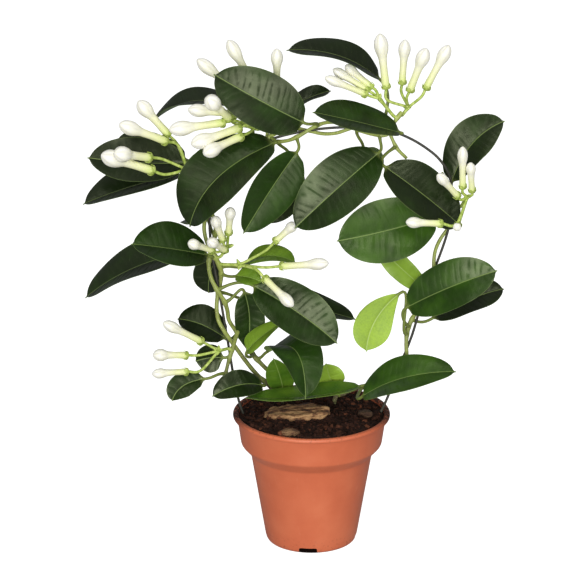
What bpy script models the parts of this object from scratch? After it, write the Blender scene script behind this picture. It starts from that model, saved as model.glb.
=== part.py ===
"""A Madagascar jasmine (Stephanotis floribunda) trained on a wire hoop, in a 12 cm plastic nursery pot.

Metres, +Z up. The origin is on the pot's axis, in the plane of its foot. The hoop stands in the XZ plane
and the plant's front is towards -Y. Lengths and places below are in millimetres and become metres as
each mesh is made.

The pot is a turned shell with a collar, four notches in its foot, four drainage holes and a pad at the
middle of its floor that stands level with the foot. Compost fills it, with plain holes for the hoop's legs
and for the three vines, and seats for three chunks of bark. The vines climb to the hoop's legs and wind
round the wire. Each leaf is a folded, arching blade on a short petiole, lofted through rings of ten points,
and each spray is a peduncle with five-sided buds fused to its head.
"""

import math

import bmesh
import bpy
from mathutils import Matrix, Vector, noise

MM = 0.001
GAP = 0.3  # between pieces that touch

# Pot: outer radii and heights, from the foot up
TURN_STEPS = 36
WALL = 1.3
POT_HEIGHT = 103.0
LIP_RADIUS = 60.0
LIP_HEIGHT = 3.2
COLLAR_TOP_RADIUS = 56.8
COLLAR_BOTTOM_RADIUS = 53.9
COLLAR_BOTTOM = 79.0
BODY_TOP_RADIUS = 46.6
BODY_TOP = 71.0
BODY_BOTTOM_RADIUS = 35.4
BODY_BOTTOM = 4.0
FOOT_RADIUS = 33.4
FOOT_WIDTH = 3.0
FLOOR_UNDERSIDE = 5.0
FLOOR_THICKNESS = 1.5
PAD_RADIUS = 11.0
PAD_SLOPE = 1.5
NOTCH_WIDTH = 14.0
NOTCH_HEIGHT = 4.4
NOTCH_TURN = -4.6  # degrees that the front notch is turned to the left of the front
DRAIN_RADIUS = 4.0
DRAIN_CIRCLE = 19.0

# Compost
SOIL_TOP = 101.5
SOIL_MOUND = 2.5
SOIL_BUMP = 1.6
SOIL_BUMP_SIZE = 13.0
SOIL_RINGS = (0.0, 13.0, 26.0, 38.0, 47.0)
STEM_HOLE_CLEARANCE = 0.7
STEM_HOLE_DEPTH = 0.6  # below a stem's buried end
STEM_HOLE_RISE = 8.0  # above the point where a stem comes out
STEM_ENTRY = 4.0  # height above the compost at which a vine starts to lean
HOLE_SIDES = 10

# Bark chunks: name, centre, size, the turn in degrees about Z and the lean in degrees about Y
BARKS = (
    ("bark_1", (-11, -7, 104.2), (50, 27, 9), -4, -5),
    ("bark_2", (-16.5, -43.5, 102.6), (14, 9, 6), 8, 6),
    ("bark_3", (41, -4, 102.2), (12, 9, 6), -24, -5),
)
BARK_BUMP = 0.09  # as a share of a chunk's size
BARK_NOISE_STEPS = (70.65, 156.4, 158.6)  # from the point to where its noise along X, Y and Z is read

# Hoop: its route in the XZ plane, from the left leg's entry into the compost to the right leg's
HOOP_RADIUS = 1.0
HOOP_STEP = 12.0
HOOP_LEFT_END = (-34, 50)
HOOP_RIGHT_END = (34, 50)
HOOP_ROUTE = (
    (-51.6, 99), (-57.5, 120), (-62.5, 153), (-69, 195), (-75, 232), (-76, 260), (-70, 287), (-54, 306),
    (-30, 318), (0, 325), (30, 327), (58, 324), (80, 314), (97, 299), (104, 279), (102, 250), (94, 223),
    (84, 195), (76, 165), (67, 140), (59, 117), (51.6, 99),
)

# Vines
VINE_RADIUS = 1.75
VINE_TIP_SHARE = 0.72
VINE_STEP = 10.0
TWINE_RADIUS = 4.4
TWINE_PITCH = 66.0
VINE_FOOT = 72.0

# Leaves
PETIOLE_RADIUS = 1.2
PETIOLE_START = 3.0
BLADE_THICKNESS = 0.9
MIDRIB_DEPTH = 0.5
BLADE_STATIONS = (0.05, 0.2, 0.42, 0.66, 0.88, 1.0)
BLADE_TIP_WIDTH = 0.9
BLADE_CURL = 0.07
FOLD = 20.0
WIDEST = 0.5  # share of a blade's length at which it is widest
ROUND_TIP_WIDEST = 0.64

# Buds: share of the length from calyx to tip, and radius as a share of the bulb's
BUD_SIDES = 5
BUD_PROFILE = ((0.02, 0.6), (0.1, 0.74), (0.12, 0.52), (0.5, 0.5), (0.73, 1.0), (0.91, 0.76), (1.0, 0.14))
PEDICEL_RADIUS = 1.1
PEDUNCLE_RADIUS = 1.3

COLOURS = {
    "pot plastic": ("D9744F", 0.5),
    "compost": ("2E211B", 0.95),
    "bark": ("7A5236", 0.9),
    "coated wire": ("23271F", 0.45),
    "vine": ("6E7A3C", 0.6),
    "leaf": ("1F3A17", 0.3),
    "young leaf": ("86A83C", 0.4),
    "bud": ("F3F2DF", 0.45),
}


def clear_scene():
    for obj in list(bpy.data.objects):
        bpy.data.objects.remove(obj, do_unlink=True)


def linear(channel):
    value = channel / 255
    return value / 12.92 if value <= 0.04045 else ((value + 0.055) / 1.055) ** 2.4


def make_material(name, hex_colour, roughness):
    material = bpy.data.materials.new(name)
    material.use_nodes = True
    shader = material.node_tree.nodes["Principled BSDF"]
    channels = [linear(int(hex_colour[i : i + 2], 16)) for i in (0, 2, 4)]
    shader.inputs["Base Color"].default_value = (*channels, 1.0)
    shader.inputs["Roughness"].default_value = roughness
    shader.inputs["Metallic"].default_value = 0.0
    return material


def make_collection(name):
    collection = bpy.data.collections.new(name)
    bpy.context.scene.collection.children.link(collection)
    return collection


def object_from_bmesh(name, bm, collection, material=None):
    """The bmesh, built in millimetres, as a mesh object in metres."""
    bmesh.ops.scale(bm, vec=(MM, MM, MM), verts=bm.verts)
    bmesh.ops.recalc_face_normals(bm, faces=bm.faces)
    mesh = bpy.data.meshes.new(name)
    bm.to_mesh(mesh)
    bm.free()
    obj = bpy.data.objects.new(name, mesh)
    collection.objects.link(obj)
    if material:
        mesh.materials.append(material)
    return obj


def evaluated_copy(obj, name, collection, material=None):
    """A mesh object of what the modifiers or the curve's bevel make, in place of the object."""
    bpy.context.view_layer.update()
    graph = bpy.context.evaluated_depsgraph_get()
    mesh = bpy.data.meshes.new_from_object(obj.evaluated_get(graph))
    matrix = obj.matrix_world.copy()
    bpy.data.objects.remove(obj, do_unlink=True)
    bm = bmesh.new()
    bm.from_mesh(mesh)
    bmesh.ops.remove_doubles(bm, verts=bm.verts, dist=0.00001)
    bmesh.ops.recalc_face_normals(bm, faces=bm.faces)
    bm.to_mesh(mesh)
    bm.free()
    mesh.materials.clear()
    if material:
        mesh.materials.append(material)
    made = bpy.data.objects.new(name, mesh)
    made.matrix_world = matrix
    collection.objects.link(made)
    return made


def shade(obj, angle=35):
    obj.data.shade_smooth()
    obj.data.set_sharp_from_angle(angle=math.radians(angle))


def boolean(obj, others, operation, name, collection, material):
    """The object joined with, or cut by, all the others in one Boolean, which uses them up."""
    tools = make_collection("tools for " + name)
    for other in others:
        for owner in list(other.users_collection):
            owner.objects.unlink(other)
        tools.objects.link(other)
    modifier = obj.modifiers.new("boolean", "BOOLEAN")
    modifier.operation = operation
    modifier.operand_type = "COLLECTION"
    modifier.collection = tools
    modifier.solver = "EXACT"
    made = evaluated_copy(obj, name, collection, material)
    for other in list(tools.objects):
        bpy.data.objects.remove(other, do_unlink=True)
    bpy.data.collections.remove(tools)
    return made


def turned(name, profile, collection, material):
    """A closed body turned round Z from an outline that runs down its outer side, in millimetres."""
    bm = bmesh.new()
    verts = [bm.verts.new((radius, 0, height)) for radius, height in profile]
    for first, second in zip(verts, verts[1:]):
        bm.edges.new((first, second))
    obj = object_from_bmesh(name, bm, collection)
    screw = obj.modifiers.new("turn", "SCREW")
    screw.steps = TURN_STEPS
    screw.render_steps = TURN_STEPS
    screw.use_merge_vertices = True
    screw.merge_threshold = 0.00001
    return evaluated_copy(obj, name, collection, material)


def smooth_route(points, step):
    """Evenly spaced points along a Catmull-Rom curve through the given ones."""
    points = [Vector(point) for point in points]
    ends = [2 * points[0] - points[1], *points, 2 * points[-1] - points[-2]]
    dense = []
    for before, start, end, after in zip(ends, ends[1:], ends[2:], ends[3:]):
        for i in range(12):
            t = i / 12
            dense.append(
                0.5
                * (
                    2 * start
                    + (end - before) * t
                    + (2 * before - 5 * start + 4 * end - after) * t**2
                    + (3 * start - before - 3 * end + after) * t**3
                )
            )
    dense.append(points[-1])
    lengths = [0.0]
    for first, second in zip(dense, dense[1:]):
        lengths.append(lengths[-1] + (second - first).length)
    count = max(2, round(lengths[-1] / step))
    even = []
    at = 0
    for i in range(count + 1):
        wanted = lengths[-1] * i / count
        while at < len(dense) - 2 and lengths[at + 1] < wanted:
            at += 1
        share = (wanted - lengths[at]) / max(1e-9, lengths[at + 1] - lengths[at])
        even.append(dense[at].lerp(dense[at + 1], share))
    return even


def tube(name, points, radius, collection, material=None, shares=None, resolution=1):
    """A mesh tube with filled ends along the points. Shares scale its radius at each point."""
    curve = bpy.data.curves.new(name, "CURVE")
    curve.dimensions = "3D"
    curve.bevel_depth = radius * MM
    curve.bevel_resolution = resolution
    curve.use_fill_caps = True
    spline = curve.splines.new("POLY")
    spline.points.add(len(points) - 1)
    for i, point in enumerate(points):
        spline.points[i].co = (*(Vector(point) * MM), 1)
        spline.points[i].radius = shares[i] if shares else 1.0
    obj = bpy.data.objects.new(name, curve)
    collection.objects.link(obj)
    return evaluated_copy(obj, name, collection, material)


def loft(name, rings, collection, material=None):
    """A closed body through rings of equal count. Each side is a pair of triangles, mirrored from one half of
    a ring to the other."""
    bm = bmesh.new()
    rows = [[bm.verts.new(point) for point in ring] for ring in rings]
    count = len(rows[0])
    for row, following in zip(rows, rows[1:]):
        for i in range(count):
            j = (i + 1) % count
            if i < count // 2:
                bm.faces.new((row[i], row[j], following[j]))
                bm.faces.new((row[i], following[j], following[i]))
            else:
                bm.faces.new((row[i], row[j], following[i]))
                bm.faces.new((row[j], following[j], following[i]))
    bm.faces.new(reversed(rows[0]))
    bm.faces.new(rows[-1])
    return object_from_bmesh(name, bm, collection, material)


def pot_profile():
    inner_floor = FLOOR_UNDERSIDE + FLOOR_THICKNESS
    return (
        (0, FLOOR_THICKNESS),
        (PAD_RADIUS - PAD_SLOPE, FLOOR_THICKNESS),
        (PAD_RADIUS, inner_floor),
        (BODY_BOTTOM_RADIUS - WALL - 2.0, inner_floor),
        (BODY_BOTTOM_RADIUS - WALL, inner_floor + 2.0),
        (BODY_TOP_RADIUS - WALL, BODY_TOP + 0.6),
        (COLLAR_BOTTOM_RADIUS - WALL, COLLAR_BOTTOM + 0.6),
        (COLLAR_TOP_RADIUS - WALL, POT_HEIGHT - LIP_HEIGHT),
        (COLLAR_TOP_RADIUS - WALL + 0.4, POT_HEIGHT - 0.6),
        (COLLAR_TOP_RADIUS - WALL + 1.2, POT_HEIGHT),
        (LIP_RADIUS - 0.9, POT_HEIGHT),
        (LIP_RADIUS, POT_HEIGHT - 0.9),
        (LIP_RADIUS, POT_HEIGHT - LIP_HEIGHT + 0.6),
        (LIP_RADIUS - 0.8, POT_HEIGHT - LIP_HEIGHT),
        (COLLAR_TOP_RADIUS, POT_HEIGHT - LIP_HEIGHT - 0.4),
        (COLLAR_BOTTOM_RADIUS, COLLAR_BOTTOM),
        (BODY_TOP_RADIUS, BODY_TOP),
        (BODY_BOTTOM_RADIUS, BODY_BOTTOM),
        (FOOT_RADIUS + 1.2, 1.0),
        (FOOT_RADIUS, 0),
        (FOOT_RADIUS - FOOT_WIDTH, 0),
        (FOOT_RADIUS - FOOT_WIDTH - 0.4, FLOOR_UNDERSIDE),
        (PAD_RADIUS + PAD_SLOPE, FLOOR_UNDERSIDE),
        (PAD_RADIUS, 0),
        (0, 0),
    )


def pot_cutters(collection):
    """The foot's four notches and the floor's four drainage holes."""
    cutters = []
    for quarter in range(4):
        bm = bmesh.new()
        bmesh.ops.create_cube(bm, size=1.0)
        bmesh.ops.scale(bm, vec=(NOTCH_WIDTH, 12.0, 2 * NOTCH_HEIGHT), verts=bm.verts)
        bmesh.ops.translate(bm, vec=(0, FOOT_WIDTH / 2 - FOOT_RADIUS, 0), verts=bm.verts)
        turn = Matrix.Rotation(math.radians(90 * quarter + NOTCH_TURN), 3, "Z")
        bmesh.ops.rotate(bm, matrix=turn, verts=bm.verts)
        cutters.append(object_from_bmesh(f"notch cutter {quarter}", bm, collection))
        angle = math.radians(45 + 90 * quarter)
        bm = bmesh.new()
        bmesh.ops.create_cone(
            bm, cap_ends=True, segments=HOLE_SIDES, radius1=DRAIN_RADIUS, radius2=DRAIN_RADIUS, depth=12.0
        )
        place = (DRAIN_CIRCLE * math.cos(angle), DRAIN_CIRCLE * math.sin(angle), FLOOR_UNDERSIDE)
        bmesh.ops.translate(bm, vec=place, verts=bm.verts)
        cutters.append(object_from_bmesh(f"drain cutter {quarter}", bm, collection))
    return cutters


def make_pot(collection, material):
    body = turned("pot body", pot_profile(), collection, None)
    pot = boolean(body, pot_cutters(collection), "DIFFERENCE", "pot", collection, material)
    shade(pot)
    return pot


def soil_height(x, y):
    """The compost's surface: a low mound with lumps, flat at the pot's wall."""
    radius = math.hypot(x, y)
    rise = SOIL_MOUND * max(0.0, 1 - (radius / SOIL_RINGS[-1]) ** 2)
    lump = SOIL_BUMP * noise.noise(Vector((x / SOIL_BUMP_SIZE, y / SOIL_BUMP_SIZE, 0.37)))
    return SOIL_TOP + rise + lump


def bark_bump(place):
    """Smooth noise along X, Y and Z, which is the same each run."""
    return BARK_BUMP * Vector([noise.noise(place + Vector((step, step, step))) for step in BARK_NOISE_STEPS])


def make_bark(name, centre, size, turn, lean, grow, collection, material=None):
    """A chunk of bark: a block with split, worn ends. Grow moves its faces out, as a cutter."""
    bm = bmesh.new()
    bmesh.ops.create_cube(bm, size=1.0)
    bmesh.ops.subdivide_edges(bm, edges=bm.edges, cuts=2, use_grid_fill=True)
    for vert in bm.verts:
        x, y, z = vert.co
        end = 1 - 1.6 * max(0.0, abs(x) - 0.2) * (0.5 + abs(y))
        side = 1 - 0.7 * abs(z)
        bump = bark_bump(Vector((9 * x + centre[0], 7 * y, 5 * z)))
        vert.co = Vector((x, y * end * side, z * end)) + Vector((bump.x * 0.5, bump.y, bump.z * 2))
    bmesh.ops.scale(bm, vec=size, verts=bm.verts)
    bmesh.ops.triangulate(bm, faces=bm.faces)
    bm.normal_update()
    for vert in bm.verts:
        vert.co += grow * vert.calc_shell_factor() * vert.normal
    turned_by = Matrix.Rotation(math.radians(turn), 3, "Z") @ Matrix.Rotation(math.radians(lean), 3, "Y")
    bmesh.ops.rotate(bm, matrix=turned_by, verts=bm.verts)
    bmesh.ops.translate(bm, vec=centre, verts=bm.verts)
    return object_from_bmesh(name, bm, collection, material)


def straight_hole(name, low, high, radius, collection):
    """A cutter for a plain round hole between two points."""
    low = Vector(low)
    high = Vector(high)
    axis = high - low
    bm = bmesh.new()
    bmesh.ops.create_cone(
        bm, cap_ends=True, segments=HOLE_SIDES, radius1=radius, radius2=radius, depth=axis.length
    )
    bmesh.ops.rotate(bm, matrix=axis.to_track_quat("Z", "Y").to_matrix(), verts=bm.verts)
    bmesh.ops.translate(bm, vec=(low + high) / 2, verts=bm.verts)
    return object_from_bmesh(name, bm, collection)


def make_soil(stems, collection, material):
    """The compost, with a hole for each stem, given as (low point, high point, radius)."""
    inner_floor = FLOOR_UNDERSIDE + FLOOR_THICKNESS
    rim = COLLAR_TOP_RADIUS - WALL - GAP
    profile = [(radius, SOIL_TOP) for radius in SOIL_RINGS]
    profile += [
        (rim, SOIL_TOP - 1),
        (COLLAR_BOTTOM_RADIUS - WALL - GAP, COLLAR_BOTTOM + 0.6 - GAP),
        (BODY_TOP_RADIUS - WALL - GAP, BODY_TOP + 0.6 - GAP),
        (BODY_BOTTOM_RADIUS - WALL - 2.4, inner_floor + GAP),
        (PAD_RADIUS - GAP, inner_floor + GAP),
        (PAD_RADIUS - PAD_SLOPE - GAP, FLOOR_THICKNESS + GAP),
        (0, FLOOR_THICKNESS + GAP),
    ]
    body = turned("compost body", profile, collection, None)
    for vert in body.data.vertices:
        x, y, z = vert.co / MM
        if z > SOIL_TOP - 0.5:
            vert.co.z = soil_height(x, y) * MM
    cutters = [make_bark(name + " seat", *rest, GAP, collection) for name, *rest in BARKS]
    for i, (low, high, radius) in enumerate(stems):
        way = (Vector(high) - Vector(low)).normalized()
        sunk = Vector(low) - way * STEM_HOLE_DEPTH
        raised = Vector(high) + way * STEM_HOLE_RISE
        hole_radius = radius + STEM_HOLE_CLEARANCE
        cutters.append(straight_hole(f"stem hole {i}", sunk, raised, hole_radius, collection))
    soil = boolean(body, cutters, "DIFFERENCE", "soil", collection, material)
    shade(soil, 50)
    return soil


def hoop_route():
    """Points along the wire above the compost, from the left leg to the right."""
    return smooth_route([(x, 0, z) for x, z in HOOP_ROUTE], HOOP_STEP)


def hoop_ends():
    return (
        Vector((HOOP_LEFT_END[0], 0, HOOP_LEFT_END[1])),
        Vector((HOOP_RIGHT_END[0], 0, HOOP_RIGHT_END[1])),
    )


def make_hoop(collection, material):
    left, right = hoop_ends()
    hoop = tube("hoop", [left, *hoop_route(), right], HOOP_RADIUS, collection, material)
    shade(hoop, 60)
    return hoop


def twine(start, end, phase):
    """Points of a helix round the hoop's wire, between two distances along it, six to a turn."""
    route = hoop_route()
    step = sum((b - a).length for a, b in zip(route, route[1:])) / (len(route) - 1)
    points = []
    count = max(2, round(abs(end - start) / (TWINE_PITCH / 6)))
    for i in range(count + 1):
        along = (start + (end - start) * i / count) / step
        index = min(int(along), len(route) - 2)
        centre = route[index].lerp(route[index + 1], along - index)
        tangent = (route[index + 1] - route[index]).normalized()
        outward = Vector((0, 1, 0)).cross(tangent)
        angle = math.radians(phase) + 2 * math.pi * along * step / TWINE_PITCH
        forward = Vector((0, -1, 0))
        points.append(centre + TWINE_RADIUS * (math.cos(angle) * outward + math.sin(angle) * forward))
    return points


class Stem:
    """A stem's centre line through its points, with its radius at each of them."""

    def __init__(self, name, points):
        self.name = name
        self.points = [Vector(point) for point in points]
        count = len(self.points) - 1
        self.shares = [1 - (1 - VINE_TIP_SHARE) * i / count for i in range(count + 1)]

    def place_near(self, x, z):
        """The centre, direction and radius where the stem passes closest to a place in the hoop's plane."""
        best = None
        for i, (first, second) in enumerate(zip(self.points, self.points[1:])):
            for j in range(5):
                centre = first.lerp(second, j / 5)
                distance = math.hypot(centre.x - x, centre.z - z)
                if best is None or distance < best[0]:
                    best = (distance, centre, (second - first).normalized(), VINE_RADIUS * self.shares[i])
        return best[1:]

    def start_towards(self, near, towards):
        """Where a petiole or peduncle leaves the stem, and the way it leaves, square to the stem."""
        centre, direction, radius = self.place_near(*near)
        leave = Vector(towards) - centre
        leave = (leave - leave.dot(direction) * direction).normalized()
        return centre + leave * (radius + GAP), leave


def climbing_stem(name, foot, rise, twined, shoot):
    """A vine from its foot in the compost, up to the hoop, round it and out along its last shoot."""
    low = Vector((*foot, VINE_FOOT))
    entry = Vector((*foot, SOIL_TOP + STEM_ENTRY))
    return Stem(name, [low, *smooth_route([entry, *rise, *twined, *shoot], VINE_STEP)])


VINES = {
    "left": climbing_stem(
        "vine_left",
        (-22, 17),
        [(-30, 12, 117), (-45, 5, 135)],
        twine(72, 330, 70),
        [(60, -3, 331), (66, -1, 339)],
    ),
    "second": climbing_stem(
        "vine_left_second",
        (-9, 22),
        [(-22, 17, 120), (-42, 10, 142)],
        twine(78, 330, 250),
        [(60, 2, 314), (70, 1, 303)],
    ),
    "right": climbing_stem(
        "vine_right",
        (18, 18),
        [(30, 14, 115), (46, 9, 121), (60, 6, 126)],
        twine(556, 385, 70),
        [],
    ),
}

# A short side stem, pruned at its top, which touches the left vine half way down and is grown into it
SIDE_STEM = Stem("side stem", [(-56, -11, 171), (-59, -3.4, 158), (-62, -6, 149), (-66, -8, 133)])
STEMS = {**VINES, "side": SIDE_STEM}

# Numbers of the leaves that are young and bright, and of those with a round tip
YOUNG = (20, 21, 23, 30, 31, 35, 36)
ROUND_TIPPED = (35,)

# Leaves: number, stem, where the petiole leaves it (x, z), the blade's base, a point half way along it and
# its tip, the way that its upper side faces, and its width
LEAVES = (
    (1, "second", (52, 328), (50, 8, 361), (19, 4, 380), (-19, 8, 383), (0.2, -0.25, 0.95), 35),
    (2, "left", (3, 328), (-6, -14, 334), (-37, -17, 351), (-72, -8, 369), (-0.42, -0.68, 0.62), 43),
    (3, "left", (57, 327), (65, -12, 326), (33, -19, 336), (0, -22, 344), (0, -0.35, 0.93), 37),
    (4, "left", (-44, 315), (-50, 12, 334), (-86, 20, 342), (-119, 24, 325), (-0.2, -0.1, 1), 32),
    (5, "second", (-31, 320), (-27, -10, 318), (-70, -26, 295), (-90, -26, 258), (-0.5, -0.8, 0.5), 49),
    (6, "left", (-12, 320), (-11, -9, 311), (-30, -16, 285), (-51, -23, 252), (0.3, -0.92, -0.25), 38),
    (7, "left", (50, 322), (49, -9, 310), (19, -22, 287), (-13, -26, 257), (-0.2, -0.9, 0.4), 43),
    (8, "second", (62, 312), (53, -14, 301), (82, -21, 281), (109, -14, 256), (0.28, -0.69, 0.66), 41),
    (9, "right", (107, 271), (93, -8, 261), (54, -16, 252), (18, -22, 246), (0, -0.95, 0.3), 47),
    (10, "right", (108, 262), (104, 8, 282), (119, 12, 311), (143, 14, 328), (-0.45, -0.75, 0.45), 34),
    (11, "second", (-77, 277), (-97, -5, 292), (-132, -14, 286), (-169, -18, 273), (-0.05, -0.2, 0.98), 44),
    (12, "second", (-74, 287), (-92, -4, 301), (-129, -4, 301), (-166, -5, 305), (0, -0.7, 0.7), 38),
    (13, "second", (-70, 292), (-94, 12, 299), (-119, 22, 307), (-146, 26, 311), (0, -0.6, 0.8), 20),
    (14, "left", (-74, 229), (-77, -10, 231), (-104, -16, 238), (-134, -20, 243), (-0.1, -0.45, 0.85), 44),
    (15, "second", (-77, 226), (-87, 6, 229), (-133, 14, 214), (-172, 18, 188), (-0.25, -0.3, 0.92), 44),
    (16, "second", (-77, 224), (-72, 11, 221), (-77, 16, 207), (-78, 18, 192), (-0.4, -0.8, 0.3), 26),
    (17, "second", (-72, 243), (-78, 12, 252), (-84, 36, 250), (-90, 60, 234), (-0.5, -0.2, 0.8), 32),
    (18, "second", (-70, 202), (-44, -9, 207), (-11, -20, 190), (19, -26, 167), (0.1, -0.85, 0.5), 38),
    (19, "left", (-70, 197), (-48, 12, 189), (-9, 15, 183), (34, 14, 172), (0, -0.3, 0.95), 34),
    (20, "left", (-69, 218), (-51, 3, 219), (-33, -8, 230), (-12, -12, 226), (0, -0.3, 0.95), 24),
    (21, "left", (-68, 213), (-58, -5, 213), (-48, -10, 214), (-38, -13, 211), (0, -0.6, 0.8), 16),
    (22, "second", (-65, 192), (-51, -1, 200), (-47, 1, 178), (-49, 0, 154), (0.1, -0.99, 0.1), 23),
    (23, "second", (-46, 147), (-49, -8, 154), (-40, -10, 165), (-22, -8, 178), (-0.8, -0.4, 0.45), 20),
    (24, "second", (-42, 142), (-34, 3, 150), (-12, -15, 157), (-5, -32, 125), (0.3, -0.6, 0.7), 37),
    (25, "second", (-56, 164), (-65, 7, 159), (-83, 8, 170), (-102, 10, 174), (0, -0.6, 0.8), 30),
    (26, "side", (-62, 149), (-66, -7, 149), (-77, -7, 149), (-88, -9, 147), (0, -1, 0.1), 22),
    (27, "side", (-65, 137), (-80, -15, 135), (-97, -20, 131), (-105, -26, 121), (-0.1, -0.85, 0.5), 19),
    (28, "left", (-38, 125), (-37, -3, 125), (-55, -18, 131), (-75, -24, 124), (0, -0.75, 0.65), 22),
    (29, "right", (47, 122), (38, -4, 125), (-3, -11, 119), (-50, -16, 120), (0, -0.03, 1), 30),
    (30, "second", (-20, 115), (-22, 10, 117), (-24, 4, 130), (-29, 0, 146), (-0.2, -0.9, 0.4), 21),
    (31, "right", (24, 108), (18, 12, 117), (14, 10, 127), (11, 8, 139), (0, -0.95, 0.3), 22),
    (32, "right", (40, 118), (38, -14, 120), (69, -24, 139), (108, -30, 146), (0, -0.45, 0.89), 36),
    (33, "right", (73, 171), (71, -10, 190), (103, -24, 211), (137, -28, 225), (0, -0.8, 0.6), 38),
    (34, "right", (76, 176), (91, 8, 175), (120, 12, 189), (146, 16, 196), (0, -0.5, 0.87), 32),
    (35, "right", (72, 165), (66, -6, 200), (48, -12, 181), (41, -16, 157), (0.3, 0.9, 0.1), 28),
    (36, "right", (91, 206), (87, -5, 201), (66, -4, 220), (49, -2, 237), (-0.6, -0.5, 0.6), 18),
    (37, "second", (-14, 325), (-20, 7, 337), (-5, 8, 346), (14, 10, 352), (0, -0.25, 0.97), 22),
    (38, "left", (-26, 315), (-17, 9, 303), (-22, 18, 274), (-38, 20, 248), (0, -0.9, 0.4), 34),
    (39, "right", (104, 251), (100, 12, 251), (88, 36, 250), (70, 66, 234), (0, 0.6, 0.8), 38),
    (40, "left", (-76, 263), (-76, 11, 268), (-74, 36, 277), (-70, 64, 262), (0, 0.6, 0.8), 38),
    (41, "left", (33, 325), (38, 11, 309), (34, 30, 283), (20, 56, 248), (0, 0.8, 0.6), 38),
)

# Sprays: name, stem, where the peduncle leaves it (x, z), the head where the pedicels meet, and for each
# bud its calyx, its tip and the radius of its bulb
SPRAYS = (
    ("bud_spray_1", "left", (-64, 294), (-92, -12, 298), (
        ((-116, -26, 301), (-153, -40, 317), 6.5),
        ((-118, -26, 311), (-143, -46, 320), 6.0),
        ((-106, -18, 321), (-140, -32, 338), 5.5),
        ((-105, -12, 324), (-127, -16, 351), 5.5),
    )),
    ("bud_spray_2", "second", (-26, 323), (-42, -7, 328), (
        ((-60, -14, 337), (-76, -34, 358), 6.0),
        ((-64, -16, 335), (-104, -30, 333), 5.8),
        ((-52, -18, 332), (-88, -34, 323), 5.8),
        ((-51, -20, 326), (-79, -38, 317), 5.5),
        ((-55, -9, 339), (-91, -13, 344), 5.0),
    )),
    ("bud_spray_3", "left", (-33, 315), (-28, 8, 340), (
        ((-42, 12, 354), (-62, 16, 389), 5.0),
        ((-52, 13, 348), (-85, 18, 374), 5.0),
        ((-26, 10, 352), (-26, 10, 384), 4.6),
    )),
    ("bud_spray_4", "left", (66, 339), (71, 5, 341), (
        ((54, -3, 357), (49, -2, 398), 5.4),
        ((66, 6, 358), (68, 9, 391), 4.6),
        ((71, -4, 355), (83, -6, 388), 5.2),
        ((83, 3, 355), (100, 4, 388), 4.8),
    )),
    ("bud_spray_5", "left", (62, 334), (49, -9, 351), (
        ((40, -9, 354), (9, -13, 368), 3.8),
        ((41, -5, 356), (15, -4, 372), 3.8),
        ((44, -4, 358), (24, 0, 374), 3.8),
    )),
    ("bud_spray_6", "right", (108, 268), (114, -22, 280), (
        ((110, -27, 288), (109, -32, 321), 3.9),
        ((117, -26, 285), (115, -32, 309), 3.7),
        ((107, -29, 282), (91, -38, 302), 3.9),
        ((95, -40, 265), (68, -46, 268), 4.2),
        ((107, -32, 262), (105, -44, 263), 3.2),
    )),
    ("bud_spray_7", "left", (-72, 227), (-63, -12, 238), (
        ((-62, -18, 250), (-60, -26, 273), 4.2),
        ((-66, -22, 246), (-72, -32, 268), 4.2),
        ((-64, -20, 238), (-76, -36, 251), 4.2),
        ((-73, -20, 238), (-91, -32, 248), 4.2),
    )),
    ("bud_spray_8", "left", (-70, 221), (-54, -11, 224), (
        ((-28, -12, 242), (-12, -12, 257), 4.2),
        ((-24, -30, 229), (12, -38, 234), 4.6),
        ((-36, -28, 220), (-14, -42, 202), 4.4),
    )),
    ("bud_spray_9", "side", (-60, 155), (-70, -14, 157), (
        ((-82, -14, 164), (-111, -24, 183), 4.4),
        ((-93, -18, 155), (-119, -26, 158), 4.8),
        ((-93, -18, 142), (-120, -24, 142), 4.0),
    )),
)


def make_vine(vine, side_stems, collection, material):
    body = tube(vine.name, vine.points, VINE_RADIUS, collection, material, vine.shares)
    if side_stems:
        grown = [
            tube(stem.name, stem.points, VINE_RADIUS, collection, None, stem.shares) for stem in side_stems
        ]
        body = boolean(body, grown, "UNION", vine.name, collection, material)
    shade(body, 60)
    return body


def blade_outline(share, widest):
    """The blade's half width along its length, as a share of the widest: a broad ellipse."""
    even = share ** (math.log(0.5) / math.log(widest))
    return (1 - abs(2 * even - 1) ** 2.1) ** 0.6


def blade_ring(centre, side, normal, half_width, thickness, midrib):
    """Ten points round the blade: the upper side from edge to edge, then the lower side back."""
    upper = []
    lower = []
    for v in (-1, -0.5, 0, 0.5, 1):
        rise = half_width * (math.tan(math.radians(FOLD)) * abs(v) - BLADE_CURL * v * v)
        middle = centre + side * (v * half_width) + normal * rise
        upper.append(middle + normal * (thickness / 2))
        lower.append(middle - normal * (thickness / 2 + (midrib if v == 0 else 0)))
    return upper + lower[::-1]


def petiole_ring(centre, side, normal, radius):
    """Ten points round the petiole, in the blade's order."""
    angles = [math.radians(162 - 36 * i) for i in range(10)]
    return [centre + radius * (math.cos(a) * side + math.sin(a) * normal) for a in angles]


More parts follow.
